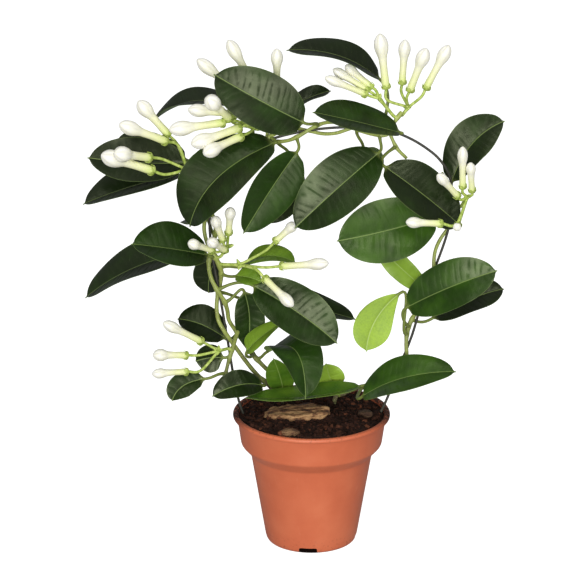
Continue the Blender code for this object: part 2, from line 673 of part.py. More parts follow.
def make_leaf(number, stem, near, base, mid, tip, face, width, collection, materials):
    base = Vector(base)
    mid = Vector(mid)
    tip = Vector(tip)
    widest = ROUND_TIP_WIDEST if number in ROUND_TIPPED else WIDEST
    control = 2 * mid - (base + tip) / 2
    across = (tip - base).cross(Vector(face)).normalized()

    def frame(tangent):
        side = (across - across.dot(tangent) * tangent).normalized()
        return side, side.cross(tangent)

    start, leave = STEMS[stem].start_towards(near, base)
    bend = start + leave * min(PETIOLE_START, (base - start).length / 3)
    petiole = (base - bend).normalized()
    into_blade = (petiole + (control - base).normalized()).normalized()
    rings = [
        petiole_ring(start, *frame(leave), PETIOLE_RADIUS),
        petiole_ring(bend, *frame((leave + petiole).normalized()), PETIOLE_RADIUS),
        petiole_ring(base, *frame(into_blade), PETIOLE_RADIUS * 0.9),
    ]
    for share in BLADE_STATIONS:
        centre = (1 - share) ** 2 * base + 2 * share * (1 - share) * control + share**2 * tip
        tangent = ((1 - share) * (control - base) + share * (tip - control)).normalized()
        half_width = max(BLADE_TIP_WIDTH / 2, width / 2 * blade_outline(share, widest))
        midrib = MIDRIB_DEPTH * (1 - share)
        rings.append(blade_ring(centre, *frame(tangent), half_width, BLADE_THICKNESS, midrib))
    material = materials["young leaf" if number in YOUNG else "leaf"]
    leaf = loft(f"leaf_{number:02d}", rings, collection, material)
    shade(leaf, 50)
    return leaf


def bud_rings(head, calyx, tip, bulb):
    """Five-sided rings from inside the spray's head, along the pedicel and up the bud."""
    axis = (tip - calyx).normalized()
    length = (tip - calyx).length
    bend = calyx - axis * (0.35 * (calyx - head).length)
    pedicel = [(head, PEDICEL_RADIUS), (bend, PEDICEL_RADIUS), (calyx, PEDICEL_RADIUS * 1.1)]
    body = [(calyx + axis * length * share, bulb * radius) for share, radius in BUD_PROFILE]
    stations = pedicel + body
    across = axis.cross(Vector((0, 0, 1)) if abs(axis.z) < 0.8 else Vector((0, 1, 0))).normalized()
    rings = []
    for i, (centre, radius) in enumerate(stations):
        before = stations[max(0, i - 1)][0]
        after = stations[min(len(stations) - 1, i + 1)][0]
        tangent = (after - before).normalized() if i < 3 else axis
        side = (across - across.dot(tangent) * tangent).normalized()
        normal = side.cross(tangent)
        angles = [2 * math.pi * k / BUD_SIDES for k in range(BUD_SIDES)]
        rings.append([centre + radius * (math.cos(a) * side + math.sin(a) * normal) for a in angles])
    return rings


def make_spray(name, stem, near, head, buds, collection, material):
    head = Vector(head)
    start, leave = STEMS[stem].start_towards(near, head)
    bend = start + leave * 3
    middle = bend.lerp(head, 0.5)
    end = head + (head - middle).normalized() * 1.5
    route = [start, bend, middle, head, end]
    peduncle = tube(name, route, PEDUNCLE_RADIUS, collection, None, [1, 1, 1, 1.5, 1.3])
    parts = [
        loft(f"{name} bud {i}", bud_rings(head, Vector(calyx), Vector(end), bulb), collection)
        for i, (calyx, end, bulb) in enumerate(buds)
    ]
    spray = boolean(peduncle, parts, "UNION", name, collection, material)
    shade(spray, 40)
    return spray


def main():
    clear_scene()
    plant = make_collection("potted madagascar jasmine")
    materials = {name: make_material(name, *look) for name, look in COLOURS.items()}
    make_pot(plant, materials["pot plastic"])
    left, right = hoop_ends()
    route = hoop_route()
    stems = [(left, route[0], HOOP_RADIUS), (right, route[-1], HOOP_RADIUS)]
    stems += [(vine.points[0], vine.points[1], VINE_RADIUS) for vine in VINES.values()]
    make_soil(stems, plant, materials["compost"])
    for name, *rest in BARKS:
        make_bark(name, *rest, 0, plant, materials["bark"])
    make_hoop(plant, materials["coated wire"])
    for vine in VINES.values():
        make_vine(vine, [SIDE_STEM] if vine is VINES["left"] else [], plant, materials["vine"])
    for leaf in LEAVES:
        make_leaf(*leaf, plant, materials)
    for spray in SPRAYS:
        make_spray(*spray, plant, materials["bud"])


main()
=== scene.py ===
"""The looks of a Madagascar jasmine trained on a wire hoop in a plastic nursery pot.

Every piece is worked out in millimetres, in the model's own frame, and becomes metres as its mesh is made.
The pot stands on z = 0 with its axis on the origin, the hoop stands in the XZ plane, and the front is -Y.
"""

import functools
import math

import bpy
import numpy as np
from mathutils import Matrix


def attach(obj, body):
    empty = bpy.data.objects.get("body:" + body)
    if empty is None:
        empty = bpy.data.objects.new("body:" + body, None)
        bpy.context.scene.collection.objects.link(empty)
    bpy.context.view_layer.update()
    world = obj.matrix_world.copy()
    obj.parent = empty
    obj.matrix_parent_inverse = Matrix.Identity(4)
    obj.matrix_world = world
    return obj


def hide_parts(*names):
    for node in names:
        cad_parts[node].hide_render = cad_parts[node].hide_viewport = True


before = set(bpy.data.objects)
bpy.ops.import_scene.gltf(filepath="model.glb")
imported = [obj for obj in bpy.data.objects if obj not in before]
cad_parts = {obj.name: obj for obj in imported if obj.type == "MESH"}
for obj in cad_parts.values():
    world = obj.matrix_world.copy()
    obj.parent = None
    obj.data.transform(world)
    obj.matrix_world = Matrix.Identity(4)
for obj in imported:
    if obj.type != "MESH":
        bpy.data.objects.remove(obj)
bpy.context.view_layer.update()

MM = 0.001
UP = np.array((0.0, 0.0, 1.0))
BACK = np.array((0.0, 1.0, 0.0))
PLACE_PRIMES = np.array((73856093, 19349663, 83492791), np.uint64)  # large primes scatter a hash's bits
MIXING_PRIME = np.uint64(1274126177)
LAST_24_BITS = 0xFFFFFF

# Pot: outer radii and heights, in millimetres as all lengths here are, and angles in degrees
WALL = 1.3
POT_HEIGHT = 103.0
LIP_RADIUS = 60.0
LIP_HEIGHT = 3.2
COLLAR_TOP_RADIUS = 56.8
COLLAR_BOTTOM_RADIUS = 53.9
COLLAR_BOTTOM = 79.0
BODY_TOP_RADIUS = 46.6
BODY_TOP = 71.0
BODY_BOTTOM_RADIUS = 35.4
BODY_BOTTOM = 4.0
FOOT_RADIUS = 33.4
FOOT_WIDTH = 3.0
FLOOR_UNDERSIDE = 5.0
FLOOR_THICKNESS = 1.5
INNER_FLOOR = FLOOR_UNDERSIDE + FLOOR_THICKNESS
PAD_RADIUS = 11.0
PAD_SLOPE = 1.5
NOTCH_WIDTH = 14.0
NOTCH_HEIGHT = 4.4
NOTCH_TURN = -4.6
DRAIN_RADIUS = 4.0
DRAIN_CIRCLE = 19.0
POT_CORNER = 1.4  # how far from a corner of the profile its rounding starts
CORNER_POINTS = 5
POT_COLUMNS = 160
CUT_REACH = 6.0  # how far a cutter reaches past the middle of what it cuts

# Compost and bark
SOIL_TOP = 101.5
SOIL_MOUND = 2.5
SOIL_EDGE = 47.0
CRUMBS = 1300
CRUMB_REACH = 53.0
CRUMB_RINGS = (0.3, 0.95, 1.57, 2.2, 2.84)  # angles from a crumb's top, in radians
CRUMB_COLUMNS = 8
GAP = 0.3  # between the compost and the pot's inner wall
BARK_ROWS = 70
BARK_COLUMNS = 96
# Each chunk's name, centre, length, width and thickness, turn and lean, and how damp it is, from 0 to 1
BARKS = (
    ("bark_1", (-11, -7, 104.2), (50, 27, 9), -4, -5, 0.0),
    ("bark_2", (-16.5, -43.5, 102.6), (14, 9, 6), 8, 6, 0.5),
    ("bark_3", (41, -4, 102.2), (12, 9, 6), -24, -5, 0.85),
)

# Hoop and vines
HOOP_RADIUS = 1.0
HOOP_STEP = 12.0
HOOP_LEFT_END = (-34, 50)
HOOP_RIGHT_END = (34, 50)
HOOP_ROUTE = (
    (-51.6, 99), (-57.5, 120), (-62.5, 153), (-69, 195), (-75, 232), (-76, 260), (-70, 287), (-54, 306),
    (-30, 318), (0, 325), (30, 327), (58, 324), (80, 314), (97, 299), (104, 279), (102, 250), (94, 223),
    (84, 195), (76, 165), (67, 140), (59, 117), (51.6, 99),
)
VINE_RADIUS = 1.75
VINE_TIP_SHARE = 0.72
VINE_STEP = 10.0
TWINE_RADIUS = 4.4
TWINE_PITCH = 66.0
VINE_FOOT = 72.0
TUBE_STEP = 1.5  # between the rings of a stem, a wire or a bud's stalk
JOINT_SWELL = 0.35  # how much thicker a stem or petiole is where they join

# Leaves
PETIOLE_RADIUS = 1.15
PETIOLE_RINGS = 12
BLADE_RINGS = 58
BLADE_COLUMNS = 27
BLADE_START = 4.5  # the length over which a petiole's circle turns into the blade
BLADE_THICKNESS = 0.75
BLADE_CURL = 0.07
FOLD = 20.0
RIB_GROOVE = 0.4
RIB_RIDGE = 0.9
VEIN_SPACING = 5.4
VEIN_SWELL = 0.16
VEIN_SLANT = 0.3
OUTLINE_END = 0.976  # share of a blade's length at which only its narrow point goes on
POINT_LENGTH = 5.0
POINT_WIDTH = 1.7
POINT_END = 0.25
WIDEST = 0.5  # share of a blade's length at which it is widest
ROUND_TIP_WIDEST = 0.64
ROUND_TIPPED = (35,)  # numbers of the leaves with a round tip

# Each leaf's number, stem, where the petiole leaves it (x, z), the blade's base, a point half way along it
# and its tip, the way that its upper side faces, its width, and how fresh its green is, from 0 to 2. On
# leaves 14 and 32 that green is set lighter to stand in for their sheen: a painted sheen.
LEAVES = (
    (1, "second", (52, 328), (50, 8, 361), (19, 4, 380), (-19, 8, 383), (0.2, -0.25, 0.95), 35, 0.0),
    (2, "left", (3, 328), (-6, -14, 334), (-37, -17, 351), (-72, -8, 369), (-0.42, -0.68, 0.62), 43, 0.3),
    (3, "left", (57, 327), (65, -12, 326), (33, -19, 336), (0, -22, 344), (0, -0.35, 0.93), 37, 0.35),
    (4, "left", (-44, 315), (-50, 12, 334), (-86, 20, 342), (-119, 24, 325), (-0.2, -0.1, 1), 32, 0.0),
    (5, "second", (-31, 320), (-27, -10, 318), (-70, -26, 295), (-90, -26, 258), (-0.5, -0.8, 0.5), 49, 0.3),
    (6, "left", (-12, 320), (-11, -9, 311), (-30, -16, 285), (-51, -23, 252), (0.3, -0.92, -0.25), 38, 0.5),
    (7, "left", (50, 322), (49, -9, 310), (19, -22, 287), (-13, -26, 257), (-0.2, -0.9, 0.4), 43, 0.35),
    (8, "second", (62, 312), (53, -14, 301), (82, -21, 281), (109, -14, 256), (0.28, -0.69, 0.66), 41, 0.15),
    (9, "right", (107, 271), (93, -8, 261), (54, -16, 252), (18, -22, 246), (0, -0.95, 0.3), 47, 0.75),
    (10, "right", (108, 262), (104, 8, 282), (119, 12, 311), (143, 14, 328), (-0.45, -0.75, 0.45), 34, 0.25),
    (
        11, "second", (-77, 277), (-97, -5, 292), (-132, -14, 286), (-169, -18, 273),
        (-0.05, -0.2, 0.98), 44, 0.1,
    ),
    (12, "second", (-74, 287), (-92, -4, 301), (-129, -4, 301), (-166, -5, 305), (0, -0.7, 0.7), 38, 0.1),
    (13, "second", (-70, 292), (-94, 12, 299), (-119, 22, 307), (-146, 26, 311), (0, -0.6, 0.8), 20, 0.1),
    # painted sheen: this leaf's fresh green is set lighter to stand in for its sheen
    (
        14, "left", (-74, 229), (-77, -10, 231), (-104, -16, 238), (-134, -20, 243),
        (-0.1, -0.45, 0.85), 44, 0.45,
    ),
    (15, "second", (-77, 226), (-87, 6, 229), (-133, 14, 214), (-172, 18, 188), (-0.25, -0.3, 0.92), 44, 0.2),
    (16, "second", (-77, 224), (-72, 11, 221), (-77, 16, 207), (-78, 18, 192), (-0.4, -0.8, 0.3), 26, 0.1),
    (17, "second", (-72, 243), (-78, 12, 252), (-84, 36, 250), (-90, 60, 234), (-0.5, -0.2, 0.8), 32, 0.2),
    (18, "second", (-70, 202), (-44, -9, 207), (-11, -20, 190), (19, -26, 167), (0.1, -0.85, 0.5), 38, 0.4),
    (19, "left", (-70, 197), (-48, 12, 189), (-9, 15, 183), (34, 14, 172), (0, -0.3, 0.95), 34, 0.3),
    (20, "left", (-69, 218), (-51, 3, 219), (-33, -8, 230), (-12, -12, 226), (0, -0.3, 0.95), 24, 1.3),
    (21, "left", (-68, 213), (-58, -5, 213), (-48, -10, 214), (-38, -13, 211), (0, -0.6, 0.8), 16, 1.3),
    (22, "second", (-65, 192), (-51, -1, 200), (-47, 1, 178), (-49, 0, 154), (0.1, -0.99, 0.1), 23, 0.4),
    (23, "second", (-46, 147), (-49, -8, 154), (-40, -10, 165), (-22, -8, 178), (-0.8, -0.4, 0.45), 20, 1.5),
    (24, "second", (-42, 142), (-34, 3, 150), (-12, -15, 157), (-5, -32, 125), (0.3, -0.6, 0.7), 37, 0.55),
    (25, "second", (-56, 164), (-65, 7, 159), (-83, 8, 170), (-102, 10, 174), (0, -0.6, 0.8), 30, 0.1),
    (26, "side", (-62, 149), (-66, -7, 149), (-77, -7, 149), (-88, -9, 147), (0, -1, 0.1), 22, 0.2),
    (27, "side", (-65, 137), (-80, -15, 135), (-97, -20, 131), (-105, -26, 121), (-0.1, -0.85, 0.5), 19, 0.3),
    (28, "left", (-38, 125), (-37, -3, 125), (-55, -18, 131), (-75, -24, 124), (0, -0.75, 0.65), 22, 0.2),
    (29, "right", (47, 122), (38, -4, 125), (-3, -11, 119), (-50, -16, 120), (0, -0.03, 1), 30, 1.05),
    (30, "second", (-20, 115), (-22, 10, 117), (-24, 4, 130), (-29, 0, 146), (-0.2, -0.9, 0.4), 21, 1.1),
    (31, "right", (24, 108), (18, 12, 117), (14, 10, 127), (11, 8, 139), (0, -0.95, 0.3), 22, 1.95),
    # painted sheen: this leaf's fresh green is set lighter to stand in for its sheen
    (32, "right", (40, 118), (38, -14, 120), (69, -24, 139), (108, -30, 146), (0, -0.45, 0.89), 36, 0.7),
    (33, "right", (73, 171), (71, -10, 190), (103, -24, 211), (137, -28, 225), (0, -0.8, 0.6), 38, 0.6),
    (34, "right", (76, 176), (91, 8, 175), (120, 12, 189), (146, 16, 196), (0, -0.5, 0.87), 32, 0.0),
    (35, "right", (72, 165), (66, -6, 200), (48, -12, 181), (41, -16, 157), (0.3, 0.9, 0.1), 28, 1.68),
    (36, "right", (91, 206), (87, -5, 201), (66, -4, 220), (49, -2, 237), (-0.6, -0.5, 0.6), 18, 1.57),
    (37, "second", (-14, 325), (-20, 7, 337), (-5, 8, 346), (14, 10, 352), (0, -0.25, 0.97), 22, 0.1),
    (38, "left", (-26, 315), (-17, 9, 303), (-22, 18, 274), (-38, 20, 248), (0, -0.9, 0.4), 34, 0.2),
    (39, "right", (104, 251), (100, 12, 251), (88, 36, 250), (70, 66, 234), (0, 0.6, 0.8), 38, 0.3),
    (40, "left", (-76, 263), (-76, 11, 268), (-74, 36, 277), (-70, 64, 262), (0, 0.6, 0.8), 38, 0.3),
    (41, "left", (33, 325), (38, 11, 309), (34, 30, 283), (20, 56, 248), (0, 0.8, 0.6), 38, 0.3),
)

# Sprays: name, stem, where the peduncle leaves it (x, z), the head where the pedicels meet, and for each
# bud its calyx, its tip and the radius of its bulb
SPRAYS = (
    ("bud_spray_1", "left", (-64, 294), (-92, -12, 298), (
        ((-116, -26, 301), (-153, -40, 317), 6.5),
        ((-118, -26, 311), (-143, -46, 320), 6.0),
        ((-106, -18, 321), (-140, -32, 338), 5.5),
        ((-105, -12, 324), (-127, -16, 351), 5.5),
    )),
    ("bud_spray_2", "second", (-26, 323), (-42, -7, 328), (
        ((-60, -14, 337), (-76, -34, 358), 6.0),
        ((-64, -16, 335), (-104, -30, 333), 5.8),
        ((-52, -18, 332), (-88, -34, 323), 5.8),
        ((-51, -20, 326), (-79, -38, 317), 5.5),
        ((-55, -9, 339), (-91, -13, 344), 5.0),
    )),
    ("bud_spray_3", "left", (-33, 315), (-28, 8, 340), (
        ((-42, 12, 354), (-62, 16, 389), 5.0),
        ((-52, 13, 348), (-85, 18, 374), 5.0),
        ((-26, 10, 352), (-26, 10, 384), 4.6),
    )),
    ("bud_spray_4", "left", (66, 339), (71, 5, 341), (
        ((54, -3, 357), (49, -2, 398), 5.4),
        ((66, 6, 358), (68, 9, 391), 4.6),
        ((71, -4, 355), (83, -6, 388), 5.2),
        ((83, 3, 355), (100, 4, 388), 4.8),
    )),
    ("bud_spray_5", "left", (62, 334), (49, -9, 351), (
        ((40, -9, 354), (9, -13, 368), 3.8),
        ((41, -5, 356), (15, -4, 372), 3.8),
        ((44, -4, 358), (24, 0, 374), 3.8),
    )),
    ("bud_spray_6", "right", (108, 268), (114, -22, 280), (
        ((110, -27, 288), (109, -32, 321), 3.9),
        ((117, -26, 285), (115, -32, 309), 3.7),
        ((107, -29, 282), (91, -38, 302), 3.9),
        ((95, -40, 265), (68, -46, 268), 4.2),
        ((107, -32, 262), (105, -44, 263), 3.2),
    )),
    ("bud_spray_7", "left", (-72, 227), (-63, -12, 238), (
        ((-62, -18, 250), (-60, -26, 273), 4.2),
        ((-66, -22, 246), (-72, -32, 268), 4.2),
        ((-64, -20, 238), (-76, -36, 251), 4.2),
        ((-73, -20, 238), (-91, -32, 248), 4.2),
    )),
    ("bud_spray_8", "left", (-70, 221), (-54, -11, 224), (
        ((-28, -12, 242), (-12, -12, 257), 4.2),
        ((-24, -30, 229), (12, -38, 234), 4.6),
        ((-36, -28, 220), (-14, -42, 202), 4.4),
    )),
    ("bud_spray_9", "side", (-60, 155), (-70, -14, 157), (
        ((-82, -14, 164), (-111, -24, 183), 4.4),
        ((-93, -18, 155), (-119, -26, 158), 4.8),
        ((-93, -18, 142), (-120, -24, 142), 4.0),
    )),
)

# Bud: share of the length from calyx to tip, with radii as shares of the tube's and of the bulb's
TUBE_SHARES = (0.0, 0.05, 0.12, 0.22, 0.36, 0.5, 0.62, 0.7)
TUBE_RADII = (0.7, 0.98, 1.06, 1.0, 0.96, 1.04, 1.2, 0.0)
BULB_SHARES = (0.52, 0.58, 0.64, 0.7, 0.77, 0.84, 0.9, 0.95, 0.98, 1.0)
BULB_RADII = (0.0, 0.6, 0.78, 0.92, 1.0, 0.97, 0.83, 0.6, 0.38, 0.1)
BUD_RINGS = 48
BUD_COLUMNS = 25
PEDICEL_RADIUS = 1.1
FURROWS = 5
FURROW_DEPTH = 0.07
FURROW_TWIST = 1.1

# Camera and stage, in metres, degrees and watts
CAMERA_DISTANCE = 2.0
CAMERA_RISE = 18.5
CAMERA_AIM = (-0.0149, 0.199)
LENS = 163.9
FLOOR_REACH = 30.0
FLOOR_GLOW = 0.86
# radius of the painted shadow under the pot: inside it the floor is near-black and does not glow
PAINTED_SHADOW_RADIUS = 33 * MM
ROOM_LIGHT = 0.3
LAMP_AIM = (0.0, 0.0, 0.22)
# Each lamp's name, place, width, height and power
LAMPS = (
    ("front softbox", (-0.38, -2.3, 0.72), 1.5, 1.0, 42.0),
    ("low front light", (0.25, -2.0, 0.16), 1.5, 0.24, 7.0),
    ("high front light", (0.38, -1.2, 1.95), 0.6, 0.5, 7.0),
    ("high light on the left", (-0.75, -0.2, 2.25), 0.8, 0.8, 6.0),
    ("low light on the right", (1.9, -1.3, 0.8), 0.5, 0.9, 6.0),
)


def linear(hex_colour):
    """The linear colour of an sRGB hex value, with full alpha."""
    channels = np.array([int(hex_colour[i : i + 2], 16) for i in (0, 2, 4)]) / 255
    curved = np.where(channels <= 0.04045, channels / 12.92, ((channels + 0.055) / 1.055) ** 2.4)
    return (*curved.tolist(), 1.0)


def unit(vectors):
    """Each vector divided by its length."""
    return vectors / np.maximum(np.linalg.norm(vectors, axis=-1, keepdims=True), 1e-12)


def ease(value, low, high):
    """0 below low, 1 above high, and 3t^2 - 2t^3 between them."""
    share = np.clip((value - low) / (high - low), 0, 1)
    return share * share * (3 - 2 * share)


def lump_noise(places, seed):
    """Smooth noise from -1 to 1: a hashed number at each whole-number corner, eased between the corners."""
    cell = np.floor(places).astype(np.int64)
    share = places - cell
    share = share * share * (3 - 2 * share)
    total = np.zeros(places.shape[:-1])
    for corner in np.ndindex(2, 2, 2):
        at = (cell + np.array(corner)).astype(np.uint64) * PLACE_PRIMES
        mixed = at[..., 0] ^ at[..., 1] ^ at[..., 2] ^ np.uint64(seed * 7919 + 17)
        mixed = (mixed ^ (mixed >> np.uint64(13))) * MIXING_PRIME
        mixed = (mixed ^ (mixed >> np.uint64(16))) & np.uint64(LAST_24_BITS)
        weight = np.prod(np.where(corner, share, 1 - share), axis=-1)
        total += weight * (mixed.astype(float) / LAST_24_BITS * 2 - 1)
    return total


def smooth_route(points, step):
    """Points a step apart along a Catmull-Rom curve: on each span the cubic that passes both its ends and
    runs there parallel to the line between the neighbours."""
    points = np.asarray(points, float)
    ends = np.vstack((2 * points[0] - points[1], points, 2 * points[-1] - points[-2]))
    before, start, end, after = (ends[i : len(ends) - 3 + i, None] for i in range(4))
    t = (np.arange(12) / 12)[None, :, None]
    bend = (2 * before - 5 * start + 4 * end - after) * t**2 + (3 * start - before - 3 * end + after) * t**3
    dense = np.vstack(((0.5 * (2 * start + (end - before) * t + bend)).reshape(-1, 3), points[-1]))
    lengths = np.r_[0, np.cumsum(np.linalg.norm(np.diff(dense, axis=0), axis=1))]
    wanted = np.linspace(0, lengths[-1], max(2, round(lengths[-1] / step)) + 1)
    return np.stack([np.interp(wanted, lengths, dense[:, k]) for k in range(3)], axis=1)


def carried_sides(tangents, first_side):
    """The side at each point of a path, carried along it without twist: at each point the share of it that
    lies along the new tangent is taken off."""
    sides = np.empty_like(tangents)
    side = np.asarray(first_side, float)
    for i, tangent in enumerate(tangents):
        side = side - side.dot(tangent) * tangent
        side = side / np.linalg.norm(side)
        sides[i] = side
    return sides


def sweep(path, radii, columns):
    """A grid of points round a path: at each point a circle of that point's radius, square to the path.
    Radii are one number a row, or one for each point of the grid."""
    tangents = unit(np.gradient(path, axis=0))
    sides = carried_sides(tangents, np.cross(tangents[0], BACK if abs(tangents[0][1]) < 0.8 else UP))
    normals = np.cross(sides, tangents)
    angles = np.linspace(0, 2 * math.pi, columns, endpoint=False)[:, None]
    around = np.cos(angles) * sides[:, None] + np.sin(angles) * normals[:, None]
    radii = np.asarray(radii, float)
    radii = radii[:, None] if radii.ndim == 1 else radii
    return path[:, None] + radii[..., None] * around


class Mesh:
    """Closed grids gathered into one mesh, each with its numbers at every point."""

    def __init__(self):
        self.points = []
        self.faces = []
        self.numbers = {}
        self.count = 0

    def add_rings(self, grid, **numbers):
        """A grid of rings joined row to row and closed at both ends. A number that isn't a whole grid is
        spread over it."""
        rows, columns = grid.shape[:2]
        first = self.count + np.arange(rows - 1)[:, None] * columns
        here = np.arange(columns)
        ahead = (here + 1) % columns
        corners = (first + here, first + here + columns, first + ahead + columns, first + ahead)
        last_ring = self.count + (rows - 1) * columns + here
        self.faces += np.stack(corners, axis=-1).reshape(-1, 4).tolist()
        self.faces += [(self.count + here).tolist(), last_ring[::-1].tolist()]
        self.points.append(grid.reshape(-1, 3))
        for name, values in numbers.items():
            values = np.asarray(values, float)
            values = values[:, None] if values.ndim == 1 else values
            self.numbers.setdefault(name, []).append(np.broadcast_to(values, (rows, columns)).ravel())
        self.count += rows * columns

    def in_metres(self, name):
        """The gathered grids as Blender's mesh, in metres."""
        mesh = bpy.data.meshes.new(name)
        mesh.from_pydata(np.concatenate(self.points) * MM, [], self.faces)
        return mesh

    def piece(self, name, slot, material, nodes=(), sharp=60):
        """The gathered grids as one piece of the object, with its numbers as attributes of its points."""
        mesh = self.in_metres(name)
        for number, values in self.numbers.items():
            attribute = mesh.attributes.new(number, "FLOAT", "POINT")
            attribute.data.foreach_set("value", np.concatenate(values).astype(np.float32))
        finish_piece(name, mesh, material, nodes, sharp)


def finish_piece(name, mesh, material, nodes, sharp):
    """Makes a mesh in metres a smooth-shaded piece of the object, in the place of the named solids."""
    mesh.shade_smooth()
    mesh.set_sharp_from_angle(angle=math.radians(sharp))
    mesh.materials.append(material)
    obj = bpy.data.objects.new(name, mesh)
    bpy.context.scene.collection.objects.link(obj)
    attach(obj, "root")
    if nodes:
        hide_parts(*nodes)


NOISE = "ShaderNodeTexNoise"
RANGE = "ShaderNodeMapRange"
RAMP = "ShaderNodeValToRGB"
MIX = "ShaderNodeMixRGB"
MATH = "ShaderNodeMath"
NUMBER = "ShaderNodeAttribute"
BUMP = "ShaderNodeBump"
PLACE = "ShaderNodeTexCoord"
MAPPING = "ShaderNodeMapping"
PER_MM = 1000.0  # a noise scale of this has lumps a millimetre apart


def set_inputs(node, inputs):
    """Sets a node's inputs. Each is a plain value, a node, whose first output is then linked, or a node with
    the name of an output."""
    for socket, source in inputs.items():
        source = (source, 0) if isinstance(source, bpy.types.Node) else source
        if isinstance(source, tuple) and isinstance(source[0], bpy.types.Node):
            node.id_data.links.new(source[0].outputs[source[1]], node.inputs[socket])
        else:
            node.inputs[socket].default_value = source


def add_node(tree, kind, inputs=None, stops=(), **settings):
    """Adds a node with its settings, the (position, hex colour) stops of its ramp, and its inputs."""
    node = tree.nodes.new(kind)
    for name, value in settings.items():
        setattr(node, name, value)
    for _ in stops[2:]:
        node.color_ramp.elements.new(0.5)
    for i, (position, colour) in enumerate(stops):
        node.color_ramp.elements[i].position = position
        node.color_ramp.elements[i].color = linear(colour)
    set_inputs(node, inputs or {})
    return node


def new_material(name, **values):
    """A material with its shader's own values, that shader, and the function that adds a node to its tree."""
    material = bpy.data.materials.new(name)
    material.use_nodes = True
    shader = material.node_tree.nodes["Principled BSDF"]
    set_inputs(shader, {socket.replace("_", " "): value for socket, value in values.items()})
    return material, shader, functools.partial(add_node, material.node_tree)


def leaf_material():
    """Stephanotis leaf: a thick waxy cuticle on leathery blades. The eye sees a near-black green whose satin
    sheen is crossed by thin dark side veins, a thin pale midrib and margin, and a pale matt underside with a
    fine network."""
    material, shader, add = new_material("waxy leaf cuticle", IOR=1.44, Specular_Tint=linear("F6FFD2"))
    place = (add(PLACE), "Object")
    names = ("fresh", "rib", "edge", "vein", "veined", "under", "stalk")
    numbers = [(add(NUMBER, attribute_name=name), "Fac") for name in names]
    fresh, rib, edge, vein, veined, under, stalk = numbers
    mottle = add(NOISE, {"Vector": place, "Scale": PER_MM / 16, "Detail": 2.0})
    uneven = add(RANGE, {"Value": mottle, "From Min": 0.3, "From Max": 0.7, "To Min": -0.15, "To Max": 0.15})
    shade = add(MATH, {0: fresh, 1: uneven}, operation="ADD")
    share = add(RANGE, {"Value": shade, "From Min": -0.2, "From Max": 2.0})
    dark_to_fresh = (
        (0.0, "0D1507"), (0.18, "15220A"), (0.36, "233D0F"),
        (0.52, "3D6017"), (0.74, "6C8B26"), (1.0, "8AAA38"),
    )
    upper = add(RAMP, {0: share}, dark_to_fresh)
    beside_rib = add(RANGE, {"Value": rib, "From Min": 0.15, "From Max": 0.45, "To Min": 0.5, "To Max": 0.0})
    upper = add(MIX, {0: beside_rib, 1: upper, 2: linear("93A860")})
    at_margin = add(RANGE, {"Value": edge, "From Min": 0.1, "From Max": 0.6, "To Min": 0.35, "To Max": 0.0})
    upper = add(MIX, {0: at_margin, 1: upper, 2: linear("74864A")})

    pale = add(RAMP, {0: share}, ((0.1, "6E8256"), (0.5, "84A052"), (1.0, "A0C03E")))
    network = add(NOISE, {"Vector": place, "Scale": PER_MM / 1.4, "Detail": 4.0})
    netted = add(RANGE, {"Value": network, "From Min": 0.42, "From Max": 0.7, "To Min": 0.0, "To Max": 0.25})
    lower = add(MIX, {0: netted, 1: pale, 2: linear("587141")})
    lower = add(MIX, {0: beside_rib, 1: lower, 2: linear("B4C48A")})
    blade = add(MIX, {0: under, 1: upper, 2: lower})
    whole = add(MIX, {0: stalk, 1: blade, 2: linear("707C3C")})

    turn = add(MATH, {0: vein}, operation="FRACT")
    beside_vein = add(MATH, {0: turn, 1: 0.5}, operation="SUBTRACT")
    off_vein = add(MATH, {0: beside_vein}, operation="ABSOLUTE")
    line = add(RANGE, {"Value": off_vein, "From Min": 0.26, "From Max": 0.48})
    line = add(MATH, {0: line, 1: veined}, operation="MULTIPLY")
    bloom = add(NOISE, {"Vector": place, "Scale": PER_MM / 7, "Detail": 3.0})
    broken = add(RANGE, {"Value": bloom, "From Min": 0.35, "From Max": 0.6})
    line = add(MATH, {0: line, 1: broken}, operation="MULTIPLY")
    gloss = add(RANGE, {"Value": bloom, "From Min": 0.3, "From Max": 0.7, "To Min": 0.3, "To Max": 0.4})
    duller = add(MATH, {0: line, 1: 0.3}, operation="MULTIPLY")
    gloss = add(MATH, {0: gloss, 1: duller}, operation="ADD")
    matt = add(MATH, {0: under, 1: 0.2}, operation="MULTIPLY")
    gloss = add(MATH, {0: gloss, 1: matt}, operation="ADD")

    grain = add(NOISE, {"Vector": place, "Scale": PER_MM / 1.0, "Detail": 3.0})
    grain = add(MATH, {0: grain, 1: 0.4}, operation="MULTIPLY")
    height = add(MATH, {0: grain, 1: line}, operation="SUBTRACT")
    relief = add(BUMP, {"Height": height, "Distance": 0.11 * MM, "Strength": 0.8})
    set_inputs(shader, {"Base Color": whole, "Roughness": gloss, "Normal": relief})
    return material


